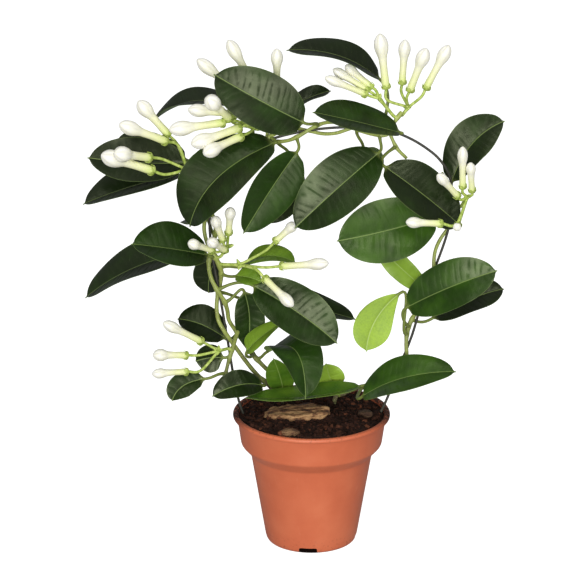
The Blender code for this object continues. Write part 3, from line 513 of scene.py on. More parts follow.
def bud_material():
    """Stephanotis bud: thick waxy petals, closed. The eye sees a smooth ivory bulb, a cream tube that turns
    yellow-green at its foot, and a soft satin sheen with no hard highlight."""
    material, shader, add = new_material("waxy petal", IOR=1.42, Roughness=0.45, Subsurface_Weight=0.15)
    set_inputs(shader, {"Subsurface Radius": (2.5 * MM, 2.5 * MM, 1.5 * MM)})
    place = (add(PLACE), "Object")
    along = (add(NUMBER, attribute_name="along"), "Fac")
    patches = add(NOISE, {"Vector": place, "Scale": PER_MM / 5, "Detail": 2.0})
    uneven = add(RANGE, {"Value": patches, "From Min": 0.3, "From Max": 0.7, "To Min": -0.04, "To Max": 0.04})
    share = add(MATH, {0: along, 1: uneven}, operation="ADD")
    green_to_ivory = (
        (0.0, "C6D573"), (0.07, "D6E08F"), (0.2, "DFE3A6"),
        (0.45, "E5E5BA"), (0.65, "ECEAD4"), (0.9, "F0EEE2"),
    )
    petal = add(RAMP, {0: share}, green_to_ivory)
    furrow = (add(NUMBER, attribute_name="furrow"), "Fac")
    shadowed = add(MATH, {0: furrow, 1: 0.4}, operation="MULTIPLY")
    petal = add(MIX, {0: shadowed, 1: petal, 2: linear("B9B497")})
    grain = add(NOISE, {"Vector": place, "Scale": PER_MM / 0.9, "Detail": 2.0})
    relief = add(BUMP, {"Height": grain, "Distance": 0.04 * MM, "Strength": 0.5})
    set_inputs(shader, {"Base Color": petal, "Normal": relief})
    return material


def calyx_material():
    """Sepals, bracts and bud stalks: young green tissue. The eye sees a fresh yellow-green, darker in its
    creases, with a satin surface."""
    material, shader, add = new_material("green bud stalk", IOR=1.42, Roughness=0.5)
    place = (add(PLACE), "Object")
    patches = add(NOISE, {"Vector": place, "Scale": PER_MM / 3, "Detail": 3.0})
    shades = add(RAMP, {0: patches}, ((0.3, "8DA344"), (0.5, "AABD5A"), (0.7, "C8D47C")))
    grain = add(NOISE, {"Vector": place, "Scale": PER_MM / 0.8, "Detail": 3.0})
    relief = add(BUMP, {"Height": grain, "Distance": 0.06 * MM, "Strength": 0.6})
    set_inputs(shader, {"Base Color": shades, "Normal": relief})
    return material


def vine_material():
    """Twining stem: pale green bark that turns tan and corky near the compost. The eye sees khaki green with
    lengthwise streaks and small pale pores."""
    material, shader, add = new_material("olive stem bark", IOR=1.45)
    place = (add(PLACE), "Object")
    age = (add(NUMBER, attribute_name="age"), "Fac")
    patches = add(NOISE, {"Vector": place, "Scale": PER_MM / 9, "Detail": 3.0})
    uneven = add(RANGE, {"Value": patches, "From Min": 0.3, "From Max": 0.7, "To Min": -0.2, "To Max": 0.2})
    share = add(MATH, {0: age, 1: uneven}, operation="ADD")
    green_to_tan = ((0.0, "99A552"), (0.45, "757E3E"), (0.75, "5F5C39"), (1.0, "4A3F2E"))
    skin = add(RAMP, {0: share}, green_to_tan)
    around = (add(NUMBER, attribute_name="around"), "Fac")
    streaks = add("ShaderNodeCombineXYZ", {0: around, 2: add(MATH, {0: age, 1: 6.0}, operation="MULTIPLY")})
    streaks = add(NOISE, {"Vector": streaks, "Scale": 3.0, "Detail": 3.0})
    streaked = add(RANGE, {"Value": streaks, "From Min": 0.5, "From Max": 0.7, "To Min": 0.0, "To Max": 0.55})
    skin = add(MIX, {0: streaked, 1: skin, 2: linear("5E5F34")})
    pores = add(NOISE, {"Vector": place, "Scale": PER_MM / 1.2, "Detail": 2.0})
    spots = add(RANGE, {"Value": pores, "From Min": 0.6, "From Max": 0.7, "To Min": 0.0, "To Max": 0.5})
    skin = add(MIX, {0: spots, 1: skin, 2: linear("C9C392")})
    roughness = add(RANGE, {"Value": age, "To Min": 0.45, "To Max": 0.75})
    grain = add(NOISE, {"Vector": place, "Scale": PER_MM / 0.9, "Detail": 4.0})
    relief = add(BUMP, {"Height": grain, "Distance": 0.12 * MM, "Strength": 0.8})
    set_inputs(shader, {"Base Color": skin, "Roughness": roughness, "Normal": relief})
    return material


def wire_material():
    """Plastic-coated steel wire, extruded. The eye sees a dark brown-green line with a dull highlight and
    faint rubbed patches."""
    material, shader, add = new_material("plastic-coated wire", IOR=1.5)
    place = (add(PLACE), "Object")
    rubbed = add(NOISE, {"Vector": place, "Scale": PER_MM / 7, "Detail": 4.0})
    coat = add(RAMP, {0: rubbed}, ((0.35, "2A2A22"), (0.6, "3A382E"), (0.75, "565040")))
    gloss = add(RANGE, {"Value": rubbed, "From Min": 0.3, "From Max": 0.7, "To Min": 0.4, "To Max": 0.6})
    grain = add(NOISE, {"Vector": place, "Scale": PER_MM / 1.0, "Detail": 2.0})
    relief = add(BUMP, {"Height": grain, "Distance": 0.03 * MM, "Strength": 0.5})
    set_inputs(shader, {"Base Color": coat, "Roughness": gloss, "Normal": relief})
    return material


def pot_material():
    """Thin injection-moulded polypropylene in a terracotta shade. The eye sees an even warm orange with a
    soft satin sheen, faint cloudy flow marks, a fine moulded grain, dust of compost near rim and foot, and a
    lip darkened to near-black brown in broad patches at its sides and back."""
    material, shader, add = new_material("moulded terracotta polypropylene", IOR=1.49)
    place = (add(PLACE), "Object")
    clouds = add(NOISE, {"Vector": place, "Scale": PER_MM / 26, "Detail": 3.0})
    plastic = add(RAMP, {0: clouds}, ((0.3, "C5633F"), (0.5, "CB6944"), (0.72, "D1714B")))
    stretched = add(MAPPING, {"Vector": place, "Scale": (1.0, 1.0, 0.25)})
    scuffs = add(NOISE, {"Vector": stretched, "Scale": PER_MM / 3.5, "Detail": 6.0, "Roughness": 0.7})
    scuffed = add(RANGE, {"Value": scuffs, "From Min": 0.6, "From Max": 0.8, "To Min": 0.0, "To Max": 0.22})
    plastic = add(MIX, {0: scuffed, 1: plastic, 2: linear("DE9472")})
    split = add("ShaderNodeSeparateXYZ", {0: place})
    height = (split, "Z")
    specks = add(NOISE, {"Vector": place, "Scale": PER_MM / 2.2, "Detail": 5.0, "Roughness": 0.65})
    soiled = add(RANGE, {"Value": specks, "From Min": 0.55, "From Max": 0.68})
    near_rim = add(RANGE, {"Value": height, "From Min": 99 * MM, "From Max": 103 * MM})
    near_foot = add(RANGE, {"Value": height, "From Min": 14 * MM, "From Max": 0.0})
    where = add(MATH, {0: near_rim, 1: near_foot}, operation="MAXIMUM")
    dust_and_dark_lip = add(MATH, {0: soiled, 1: where}, operation="MULTIPLY")
    dust_and_dark_lip = add(MATH, {0: dust_and_dark_lip, 1: 0.55}, operation="MULTIPLY")
    # The lip's top is darkened to near-black brown in broad patches at its sides and back, not at the front.
    on_lip = add(RANGE, {"Value": height, "From Min": 99.6 * MM, "From Max": 101.6 * MM})
    at_back = add(RANGE, {"Value": (split, "Y"), "From Min": -42 * MM, "From Max": -12 * MM})
    lip_patches = add(RANGE, {"Value": specks, "From Min": 0.3, "From Max": 0.5})
    darkened_lip = add(MATH, {0: on_lip, 1: at_back}, operation="MULTIPLY")
    darkened_lip = add(MATH, {0: darkened_lip, 1: lip_patches}, operation="MULTIPLY")
    dust_and_dark_lip = add(MATH, {0: dust_and_dark_lip, 1: darkened_lip}, operation="MAXIMUM")
    plastic = add(MIX, {0: dust_and_dark_lip, 1: plastic, 2: linear("3A1F12")})
    wiped = add(NOISE, {"Vector": place, "Scale": PER_MM / 9, "Detail": 4.0})
    gloss = add(RANGE, {"Value": wiped, "From Min": 0.3, "From Max": 0.7, "To Min": 0.42, "To Max": 0.54})
    gloss = add(MATH, {0: gloss, 1: dust_and_dark_lip}, operation="MAXIMUM")
    grain = add(NOISE, {"Vector": place, "Scale": PER_MM / 0.7, "Detail": 2.0})
    relief = add(BUMP, {"Height": grain, "Distance": 0.03 * MM, "Strength": 0.5})
    set_inputs(shader, {"Base Color": plastic, "Roughness": gloss, "Normal": relief})
    return material


def compost_material():
    """Moist peat compost, sieved. The eye sees near-black brown crumbs, some of them drier, lighter and
    redder, and a rough surface that takes no highlight."""
    material, shader, add = new_material("moist peat compost", Roughness=0.9, Specular_IOR_Level=0.2)
    place = (add(PLACE), "Object")
    crumbs = add(NOISE, {"Vector": place, "Scale": PER_MM / 2.6, "Detail": 6.0, "Roughness": 0.7})
    dark_to_dry = ((0.3, "100703"), (0.5, "24130B"), (0.64, "41251A"), (0.78, "63402E"))
    earth = add(RAMP, {0: crumbs}, dark_to_dry)
    dry = (add(NUMBER, attribute_name="dry"), "Fac")
    earth = add(MIX, {0: dry, 1: earth, 2: linear("6A3F2A")})
    grain = add(NOISE, {"Vector": place, "Scale": PER_MM / 1.2, "Detail": 6.0, "Roughness": 0.7})
    relief = add(BUMP, {"Height": grain, "Distance": 0.8 * MM, "Strength": 0.9})
    set_inputs(shader, {"Base Color": earth, "Normal": relief})
    return material


def bark_material():
    """Composted pine bark, torn into flakes. The eye sees tan layers with dark cracks along the grain and a
    dry, matt surface."""
    material, shader, add = new_material("pine bark", Roughness=0.88)
    place = (add(PLACE), "Object")
    along = add(MAPPING, {"Vector": place, "Rotation": (0, 0, 0.7), "Scale": (0.5, 1.5, 1.5)})
    grain = add(NOISE, {"Vector": along, "Scale": PER_MM / 5, "Detail": 6.0, "Roughness": 0.68})
    torn = ((0.34, "24140B"), (0.43, "5C3B24"), (0.5, "8F6843"), (0.58, "B18C60"), (0.68, "66432A"))
    layers = add(RAMP, {0: grain}, torn)
    damp = (add(NUMBER, attribute_name="damp"), "Fac")
    bark = add(MIX, {0: damp, 1: layers, 2: linear("2E1A10")})
    relief = add(BUMP, {"Height": grain, "Distance": 1.6 * MM, "Strength": 0.9})
    set_inputs(shader, {"Base Color": bark, "Normal": relief})
    return material


def rounded(outline, radius):
    """The outline with each inner corner turned into a quadratic curve that starts and ends a radius away
    from it, or half way to the next corner where that is nearer."""
    outline = np.asarray(outline, float)
    corner = outline[1:-1]
    before = outline[:-2] - corner
    after = outline[2:] - corner
    back = np.minimum(radius, np.linalg.norm(before, axis=1, keepdims=True) / 2.1)
    ahead = np.minimum(radius, np.linalg.norm(after, axis=1, keepdims=True) / 2.1)
    start = (corner + unit(before) * back)[:, None]
    end = (corner + unit(after) * ahead)[:, None]
    t = np.linspace(0, 1, CORNER_POINTS)[None, :, None]
    curves = (1 - t) ** 2 * start + 2 * t * (1 - t) * corner[:, None] + t**2 * end
    return np.vstack((outline[:1], curves.reshape(-1, 2), outline[-1:]))


def turned(outline, columns):
    """A grid turned round Z: each (radius, height) of the outline as a ring."""
    outline = np.asarray(outline, float)
    angles = np.linspace(0, 2 * math.pi, columns, endpoint=False)
    radius, height = outline[:, :1], outline[:, 1:]
    return np.stack((radius * np.cos(angles), radius * np.sin(angles), height + 0 * angles), axis=-1)


def pot_cutters():
    """Blocks for the foot's four notches, rectangles with rounded corners that are pushed through the foot's
    ring, and a rod for each of the four drainage holes."""
    cutters = Mesh()
    rim = np.linspace(0, 2 * math.pi, 48, endpoint=False)
    across = NOTCH_WIDTH / 2 * np.sign(np.cos(rim)) * np.abs(np.cos(rim)) ** 0.2
    tall = NOTCH_HEIGHT * np.sign(np.sin(rim)) * np.abs(np.sin(rim)) ** 0.25
    ends = np.array((-CUT_REACH, CUT_REACH))
    rod = turned([(DRAIN_RADIUS, FLOOR_UNDERSIDE + end) for end in ends], 32)
    for quarter in range(4):
        turn = math.radians(90 * quarter + NOTCH_TURN - 90)
        outwards = np.array((math.cos(turn), math.sin(turn), 0.0))
        face = -across[:, None] * np.cross(UP, outwards) + tall[:, None] * UP
        middle = FOOT_RADIUS - FOOT_WIDTH / 2
        cutters.add_rings((middle + ends)[:, None, None] * outwards + face)
        turn = math.radians(45 + 90 * quarter)
        cutters.add_rings(rod + DRAIN_CIRCLE * np.array((math.cos(turn), math.sin(turn), 0.0)))
    return cutters


def make_pot(material):
    """The turned shell, with the foot's notches and the floor's drainage holes cut out of it."""
    outline = (
        (0.5, 0),
        (PAD_RADIUS, 0),
        (PAD_RADIUS + PAD_SLOPE, FLOOR_UNDERSIDE),
        (FOOT_RADIUS - FOOT_WIDTH - 0.4, FLOOR_UNDERSIDE),
        (FOOT_RADIUS - FOOT_WIDTH, 0),
        (FOOT_RADIUS, 0),
        (FOOT_RADIUS + 1.2, 1.0),
        (BODY_BOTTOM_RADIUS, BODY_BOTTOM),
        (BODY_TOP_RADIUS, BODY_TOP),
        (COLLAR_BOTTOM_RADIUS, COLLAR_BOTTOM),
        (COLLAR_TOP_RADIUS, POT_HEIGHT - LIP_HEIGHT - 0.4),
        (LIP_RADIUS - 0.8, POT_HEIGHT - LIP_HEIGHT),
        (LIP_RADIUS, POT_HEIGHT - LIP_HEIGHT + 0.6),
        (LIP_RADIUS, POT_HEIGHT - 0.9),
        (LIP_RADIUS - 0.9, POT_HEIGHT),
        (COLLAR_TOP_RADIUS - WALL + 1.2, POT_HEIGHT),
        (COLLAR_TOP_RADIUS - WALL + 0.4, POT_HEIGHT - 0.6),
        (COLLAR_TOP_RADIUS - WALL, POT_HEIGHT - LIP_HEIGHT),
        (COLLAR_BOTTOM_RADIUS - WALL, COLLAR_BOTTOM + 0.6),
        (BODY_TOP_RADIUS - WALL, BODY_TOP + 0.6),
        (BODY_BOTTOM_RADIUS - WALL, INNER_FLOOR + 2.0),
        (BODY_BOTTOM_RADIUS - WALL - 2.0, INNER_FLOOR),
        (PAD_RADIUS, INNER_FLOOR),
        (PAD_RADIUS - PAD_SLOPE, FLOOR_THICKNESS),
        (0.5, FLOOR_THICKNESS),
    )
    shell = Mesh()
    shell.add_rings(turned(rounded(outline, POT_CORNER), POT_COLUMNS))
    body = bpy.data.objects.new("pot shell", shell.in_metres("pot shell"))
    tools = bpy.data.objects.new("pot cutters", pot_cutters().in_metres("pot cutters"))
    for obj in (body, tools):
        bpy.context.scene.collection.objects.link(obj)
    cut = body.modifiers.new("cut", "BOOLEAN")
    cut.operation = "DIFFERENCE"
    cut.solver = "EXACT"
    cut.object = tools
    bpy.context.view_layer.update()
    done = bpy.data.meshes.new_from_object(body.evaluated_get(bpy.context.evaluated_depsgraph_get()))
    for obj in (body, tools):
        bpy.data.objects.remove(obj, do_unlink=True)
    finish_piece("nursery_pot", done, material, ["pot"], 35)


def compost_height(x, y):
    """The compost's surface: a low mound, lumps 13 mm apart and crumbs of 3 and 1.4 mm."""
    place = np.stack((x, y, 0 * x), axis=-1)
    mound = SOIL_MOUND * np.maximum(0, 1 - (x * x + y * y) / SOIL_EDGE**2)
    lumps = 1.4 * lump_noise(place / 13, 3)
    crumbs = 0.9 * lump_noise(place / 3.1, 4) + 0.5 * lump_noise(place / 1.4, 5)
    return SOIL_TOP + mound + lumps + crumbs


def crumb_balls(rng):
    """Loose crumbs on the compost. Each is a ball of a few rings whose points are moved in or out by chance,
    made longer, narrower and flatter, and turned about Z. Most are fine and few are coarse."""
    spread = CRUMB_REACH * np.sqrt(rng.random(CRUMBS))
    turn = 2 * math.pi * rng.random(CRUMBS)
    x, y = spread * np.cos(turn), spread * np.sin(turn)
    size = 0.5 + 2.2 * rng.random(CRUMBS) ** 3
    polar = np.array(CRUMB_RINGS)[:, None]
    around = np.linspace(0, 2 * math.pi, CRUMB_COLUMNS, endpoint=False)
    flat = np.sin(polar)
    ball = np.stack((flat * np.cos(around), flat * np.sin(around), np.cos(polar) + 0 * around), axis=-1)[::-1]
    uneven = 0.55 + 0.9 * rng.random((CRUMBS, len(CRUMB_RINGS), CRUMB_COLUMNS, 1))
    long = 0.7 + 1.6 * rng.random(CRUMBS) ** 4
    squash = np.stack((long, 0.55 + 0.5 * rng.random(CRUMBS), 0.4 + 0.4 * rng.random(CRUMBS)), axis=-1)
    along, beside, above = np.moveaxis(uneven * squash[:, None, None] * ball, -1, 0)
    way = 2 * math.pi * rng.random(CRUMBS)[:, None, None]
    cos, sin = np.cos(way), np.sin(way)
    lumps = np.stack((along * cos - beside * sin, along * sin + beside * cos, above), axis=-1)
    centre = np.stack((x, y, compost_height(x, y) + 0.15 * size), axis=-1)
    return (centre[:, None, None] + size[:, None, None, None] * lumps)[:, ::-1]


def make_compost(material):
    """The compost, whose top is a disc of rings raised by its height, and the loose crumbs on it."""
    rim = COLLAR_TOP_RADIUS - WALL - GAP
    walls = (
        (0.5, FLOOR_THICKNESS + GAP),
        (PAD_RADIUS - PAD_SLOPE - GAP, FLOOR_THICKNESS + GAP),
        (PAD_RADIUS - GAP, INNER_FLOOR + GAP),
        (BODY_BOTTOM_RADIUS - WALL - 2.4, INNER_FLOOR + GAP),
        (BODY_TOP_RADIUS - WALL - GAP, BODY_TOP + 0.6 - GAP),
        (COLLAR_BOTTOM_RADIUS - WALL - GAP, COLLAR_BOTTOM + 0.6 - GAP),
    )
    top = [(radius, SOIL_TOP) for radius in np.linspace(rim, 0.3, 84)]
    grid = turned((*walls, *top), 240)
    above = grid[len(walls) :]
    settled = ease(rim - np.hypot(above[..., 0], above[..., 1]), 0.0, 2.5)
    raised = compost_height(above[..., 0], above[..., 1]) - SOIL_TOP
    above[..., 2] += raised * settled - 1.0 * (1 - settled)
    grid = grid[::-1]
    compost = Mesh()
    compost.add_rings(grid, dry=0.5 * ease(lump_noise(grid / 6.0, 6), 0.35, 0.9))
    rng = np.random.default_rng(11)
    for ball, dry in zip(crumb_balls(rng), rng.random(CRUMBS) ** 5):
        compost.add_rings(ball, dry=np.full(len(CRUMB_RINGS), dry))
    compost.piece("peat_compost", "compost", material, ["soil"])


def make_bark_chunk(name, centre, size, turn, lean, damp, material):
    """A torn flake of bark: a rounded block whose radius in each direction is that of the power 5 norm,
    drawn in at its ends, with layers that step along its thickness and ridges along its grain. damp is how
    far its colour goes from dry tan to wet brown."""
    polar = np.linspace(0.02, math.pi - 0.02, BARK_ROWS)[:, None]
    around = np.linspace(0, 2 * math.pi, BARK_COLUMNS, endpoint=False)
    flat = np.sin(polar)
    way = np.stack((np.cos(polar) + 0 * around, flat * np.cos(around), flat * np.sin(around)), axis=-1)
    block = way / (np.abs(way) ** 5).sum(axis=-1, keepdims=True) ** 0.2
    half = np.asarray(size, float) / 2
    x, y, z = np.moveaxis(block, -1, 0)
    narrow = 1 - 0.45 * np.maximum(0, np.abs(x) - 0.35) * (0.6 + np.abs(y))
    shape = np.stack((x, y * narrow, z * narrow * (1 - 0.25 * np.abs(y))), axis=-1) * half
    seed = int(abs(centre[0]) * 3 + 1)
    edge = lump_noise(shape / np.array((6.0, 4.0, 3.0)), seed)
    ridges = lump_noise(shape / np.array((9.0, 1.6, 1.6)), seed + 1)
    flakes = np.abs(lump_noise(shape / np.array((5.0, 3.2, 1.3)), seed + 2))
    grow = np.array((1.8, 1.5, 1.1)) * min(1.0, size[0] / 24)
    shape = shape + unit(shape / half**2) * grow * (1.15 * edge + 0.45 * ridges - 0.5 * flakes)[..., None]
    turn, lean = math.radians(turn), math.radians(lean)
    about_z = np.array(((math.cos(turn), -math.sin(turn), 0), (math.sin(turn), math.cos(turn), 0), (0, 0, 1)))
    about_y = np.array(((math.cos(lean), 0, math.sin(lean)), (0, 1, 0), (-math.sin(lean), 0, math.cos(lean))))
    placed = shape @ (about_z @ about_y).T + np.asarray(centre, float)
    chunk = Mesh()
    chunk.add_rings(placed, damp=np.full(BARK_ROWS, damp))
    chunk.piece(name + "_flake", "bark", material, [name], 55)


HOOP_PATH = smooth_route([(x, 0, z) for x, z in HOOP_ROUTE], HOOP_STEP)


def twine(start, end, phase):
    """Points of a helix round the hoop's wire, between two distances along it, six to a turn."""
    step = np.linalg.norm(np.diff(HOOP_PATH, axis=0), axis=1).mean()
    along = np.linspace(start, end, max(2, round(abs(end - start) / (TWINE_PITCH / 6))) + 1) / step
    index = np.minimum(along.astype(int), len(HOOP_PATH) - 2)
    span = HOOP_PATH[index + 1] - HOOP_PATH[index]
    centre = HOOP_PATH[index] + span * (along - index)[:, None]
    outward = np.cross(BACK, unit(span))
    angle = (math.radians(phase) + 2 * math.pi * along * step / TWINE_PITCH)[:, None]
    return centre + TWINE_RADIUS * (np.cos(angle) * outward - np.sin(angle) * BACK)


class Stem:
    """A stem's centre line, its radius along it, and the places where leaves and sprays leave it."""

    def __init__(self, points):
        self.points = np.asarray(points, float)
        self.shares = np.linspace(1, VINE_TIP_SHARE, len(self.points))
        self.joints = []

    def start_towards(self, near, towards):
        """Where a petiole or peduncle leaves the stem, and the way it leaves, square to the stem. It starts
        inside the stem, at 0.6 of its radius."""
        first, span = self.points[:-1, None], np.diff(self.points, axis=0)[:, None]
        centres = first + span * (np.arange(5) / 5)[None, :, None]
        distance = np.hypot(centres[..., 0] - near[0], centres[..., 2] - near[1])
        i, j = np.unravel_index(np.argmin(distance), distance.shape)
        centre = centres[i, j]
        direction = unit(span[i, 0])
        leave = np.asarray(towards, float) - centre
        leave = unit(leave - leave.dot(direction) * direction)
        self.joints.append(centre)
        return centre + leave * (VINE_RADIUS * self.shares[i] * 0.6), leave


def climbing_stem(foot, rise, twined, shoot=()):
    """A vine from its foot in the compost, up to the hoop, round it and out along its last shoot."""
    entry = (*foot, SOIL_TOP + 4)
    return Stem(np.vstack(((*foot, VINE_FOOT), smooth_route([entry, *rise, *twined, *shoot], VINE_STEP))))


STEMS = {
    "left": climbing_stem(
        (-22, 17), [(-30, 12, 117), (-45, 5, 135)], twine(72, 330, 70), [(60, -3, 331), (66, -1, 339)]
    ),
    "second": climbing_stem(
        (-9, 22), [(-22, 17, 120), (-42, 10, 142)], twine(78, 330, 250), [(60, 2, 314), (70, 1, 303)]
    ),
    "right": climbing_stem((18, 18), [(30, 14, 115), (46, 9, 121), (60, 6, 126)], twine(556, 385, 70)),
    "side": Stem([(-56, -11, 171), (-59, -3.4, 158), (-62, -6, 149), (-66, -8, 133)]),
}


def stem_grid(stem, seed):
    """A tube along the stem with a swelling at each joint and bark that is uneven by 5%, and its numbers: how
    old its bark is, from 0 at 185 mm up to 1 at 95 mm, and the share of the way round it."""
    path = smooth_route(stem.points, TUBE_STEP)
    along = np.linspace(0, 1, len(path))
    radii = VINE_RADIUS * np.interp(along, np.linspace(0, 1, len(stem.points)), stem.shares)
    for joint in stem.joints:
        away = np.linalg.norm(path - joint, axis=1)
        radii *= 1 + JOINT_SWELL * np.exp(-((away / 2.6) ** 2))
    grid = sweep(path, radii, 14)
    uneven = 1 + 0.05 * lump_noise(grid / np.array((3.0, 3.0, 4.0)), seed)
    grid = path[:, None] + (grid - path[:, None]) * uneven[..., None]
    around = np.abs(np.linspace(-1, 1, grid.shape[1], endpoint=False)) + 0 * grid[..., 0]
    return grid, {"age": np.clip(1 - (grid[..., 2] - 95) / 90, 0, 1), "around": around}


def make_vines(material):
    """The three vines. The cut side stem is grown into the left one, so it is in the same piece."""
    vines = (
        ("vine_left", (("left", 20), ("side", 30))),
        ("vine_left_second", (("second", 21),)),
        ("vine_right", (("right", 22),)),
    )
    for node, stems in vines:
        vine = Mesh()
        for stem, seed in stems:
            grid, numbers = stem_grid(STEMS[stem], seed)
            vine.add_rings(grid, **numbers)
        vine.piece(node + "_stem", "vine", material, [node])


def make_hoop(material):
    """The wire: a tube of one thickness along the hoop's route, straight where it goes into the compost."""
    route = smooth_route(HOOP_PATH, TUBE_STEP)
    left = np.array((HOOP_LEFT_END[0], 0, HOOP_LEFT_END[1]), float)
    right = np.array((HOOP_RIGHT_END[0], 0, HOOP_RIGHT_END[1]), float)
    share = np.linspace(0, 1, 24, endpoint=False)[:, None]
    path = np.vstack((left + (route[0] - left) * share, route, right + (route[-1] - right) * share[::-1]))
    hoop = Mesh()
    hoop.add_rings(sweep(path, np.full(len(path), HOOP_RADIUS), 12))
    hoop.piece("wire_hoop", "coated_wire", material, ["hoop"])


def leaf_line(stem, near, base, mid, tip, face):
    """A leaf's centre line from its stem to its tip: its points, the side and the normal at each, the share
    of the blade's length at each, and that length.

    The petiole is the cubic that leaves the stem squarely and runs on into the blade. The blade's line is the
    parabola through base, mid and tip, and its points lie closer together near its ends."""
    base, mid, tip = (np.asarray(p, float) for p in (base, mid, tip))
    start, leave = STEMS[stem].start_towards(near, base)
    control = 2 * mid - (base + tip) / 2
    even = np.linspace(0, 1, BLADE_RINGS)[:, None]
    share = 0.45 * even + 0.55 * (1 - np.cos(math.pi * even)) / 2
    line = (1 - share) ** 2 * base + 2 * share * (1 - share) * control + share**2 * tip
    tangents = unit((1 - share) * (control - base) + share * (tip - control))
    across = unit(np.cross(tip - base, face))
    sides = unit(across - (tangents @ across)[:, None] * tangents)
    length = np.linalg.norm(np.diff(line, axis=0), axis=1).sum()

    reach = 0.4 * np.linalg.norm(base - start)
    t = np.linspace(0, 1, PETIOLE_RINGS, endpoint=False)[:, None]
    bends = (start, start + leave * reach, base - tangents[0] * reach, base)
    weights = ((1 - t) ** 3, 3 * t * (1 - t) ** 2, 3 * t**2 * (1 - t), t**3)
    stalk = sum(weight * point for weight, point in zip(weights, bends))
    stalk_tangents = unit(np.gradient(np.vstack((stalk, base)), axis=0)[:-1])
    stalk_sides = carried_sides(stalk_tangents[::-1], sides[0])[::-1]

    sides = np.vstack((stalk_sides, sides))
    normals = np.cross(sides, np.vstack((stalk_tangents, tangents)))
    return np.vstack((stalk, line)), sides, normals, np.vstack((0 * t, share)), length


def half_width(number, width, share, length):
    """Half a blade's width: that of a broad ellipse, (1 - |2e - 1|^2.1)^0.6 of the widest, where e is the
    share of the length bent so that it is a half at the widest place. The ellipse ends just before the tip,
    and a narrow straight point goes on from it."""
    widest = ROUND_TIP_WIDEST if number in ROUND_TIPPED else WIDEST
    bent = np.clip(share / OUTLINE_END, 0, 1) ** (math.log(0.5) / math.log(widest))
    outline = np.maximum(0, 1 - np.abs(2 * bent - 1) ** 2.1) ** 0.6
    half = width / 2 * outline + 1.0 * np.exp(-((share * length / 3) ** 2))
    point = POINT_END + POINT_WIDTH * np.clip((1 - share) * length / POINT_LENGTH, 0, 1)
    return np.where(share > 0.5, np.sqrt(half**2 + point**2), half)


def leaf_grid(number, stem, near, base, mid, tip, face, width):
    """A leaf from its petiole to its tip, as rings that change from a circle into the blade's section, and
    its numbers: distances from the midrib and from the margin, how many side veins have gone by, where they
    show, and which points are on the underside or on the stalk.

    Across the blade the surface rises from the midrib by the fold's tangent and sinks by the square of the
    distance, waves at its margin, and swells between the side veins. The midrib is a groove above and a ridge
    below, and both fade towards the tip."""
    rng = np.random.default_rng(100 + number)
    line, sides, normals, share, length = leaf_line(stem, near, base, mid, tip, face)
    is_blade = (np.arange(len(line)) >= PETIOLE_RINGS)[:, None].astype(float)
    half = half_width(number, width, share, length)

    w = np.linspace(-1, 1, BLADE_COLUMNS)
    v = np.sign(w) * np.abs(w) ** 1.25
    x = half * v
    edge = half - np.abs(x) + 9 * (1 - is_blade)
    soft = np.sqrt(v * v + 0.003) - math.sqrt(0.003)
    rise = half * (math.tan(math.radians(FOLD)) * soft - BLADE_CURL * v * v)
    wave_height, wave_count, wave_start = rng.uniform(0.5, 1.2), rng.uniform(1.0, 1.6), rng.random()
    waves = wave_height * np.sin(2 * math.pi * (wave_count * share + wave_start) + 0.9 * w)
    rise = rise + waves * np.abs(v) ** 3 * ease(share, 0.0, 0.25) * ease(1 - share, 0.0, 0.2)
    passed = share * length / VEIN_SPACING
    wander = 0.16 * np.sin(5.3 * passed / 2.3 + number) * np.sign(v + 0.001)
    veins = passed - width / 2 * VEIN_SLANT / VEIN_SPACING * np.abs(v) ** 1.1 + wander + 10
    veined = ease(np.abs(x), 0.6, 2.5) * ease(1 - np.abs(v), 0.02, 0.3) * ease(share, 0.02, 0.12) * is_blade
    rise = rise + VEIN_SWELL * veined * np.abs(np.sin(math.pi * veins)) ** 0.8
    thick = BLADE_THICKNESS * (1 - 0.6 * v * v)
    top = rise + thick / 2 - RIB_GROOVE * np.exp(-((x / 0.8) ** 2)) * (1 - share)
    bottom = rise - thick / 2 - RIB_RIDGE * np.exp(-((x / 0.9) ** 2)) * (1 - share) ** 0.7

    turn = math.pi * (1 - (w + 1) / 2)
    swollen = PETIOLE_RADIUS * (1 + JOINT_SWELL * np.exp(-((np.arange(len(line)) / 2.0) ** 2)))[:, None]
    flat = ease(share * length, 0.0, BLADE_START) * is_blade
    side_x = (1 - flat) * swollen * np.cos(turn) + flat * x
    upper_z = (1 - flat) * swollen * np.sin(turn) + flat * top
    lower_z = -(1 - flat) * swollen * np.sin(turn) + flat * bottom - 0.02 * (1 - flat)
    ring_x = np.hstack((side_x[:, ::-1], side_x))
    ring_z = np.hstack((upper_z[:, ::-1], lower_z))
    grid = line[:, None] + ring_x[..., None] * sides[:, None] + ring_z[..., None] * normals[:, None]
    numbers = {
        "rib": np.abs(ring_x),
        "edge": np.hstack((edge[:, ::-1], edge)),
        "vein": np.hstack((veins[:, ::-1], veins)),
        "veined": np.hstack((veined[:, ::-1], veined)),
        "under": np.hstack((0 * x, 0 * x + 1)) * (flat > 0.5),
        "stalk": 1 - flat,
    }
    return grid, numbers


def make_leaves(material):
    """Each leaf as a piece of its own, from its row."""
    for number, *shape, fresh in LEAVES:
        grid, numbers = leaf_grid(number, *shape)
        leaf = Mesh()
        leaf.add_rings(grid, fresh=np.full(len(grid), fresh), **numbers)
        slot = "young_leaf" if fresh > 1 else "leaf"
        leaf.piece(f"leaf_{number:02d}_blade", slot, material, [f"leaf_{number:02d}"], 70)


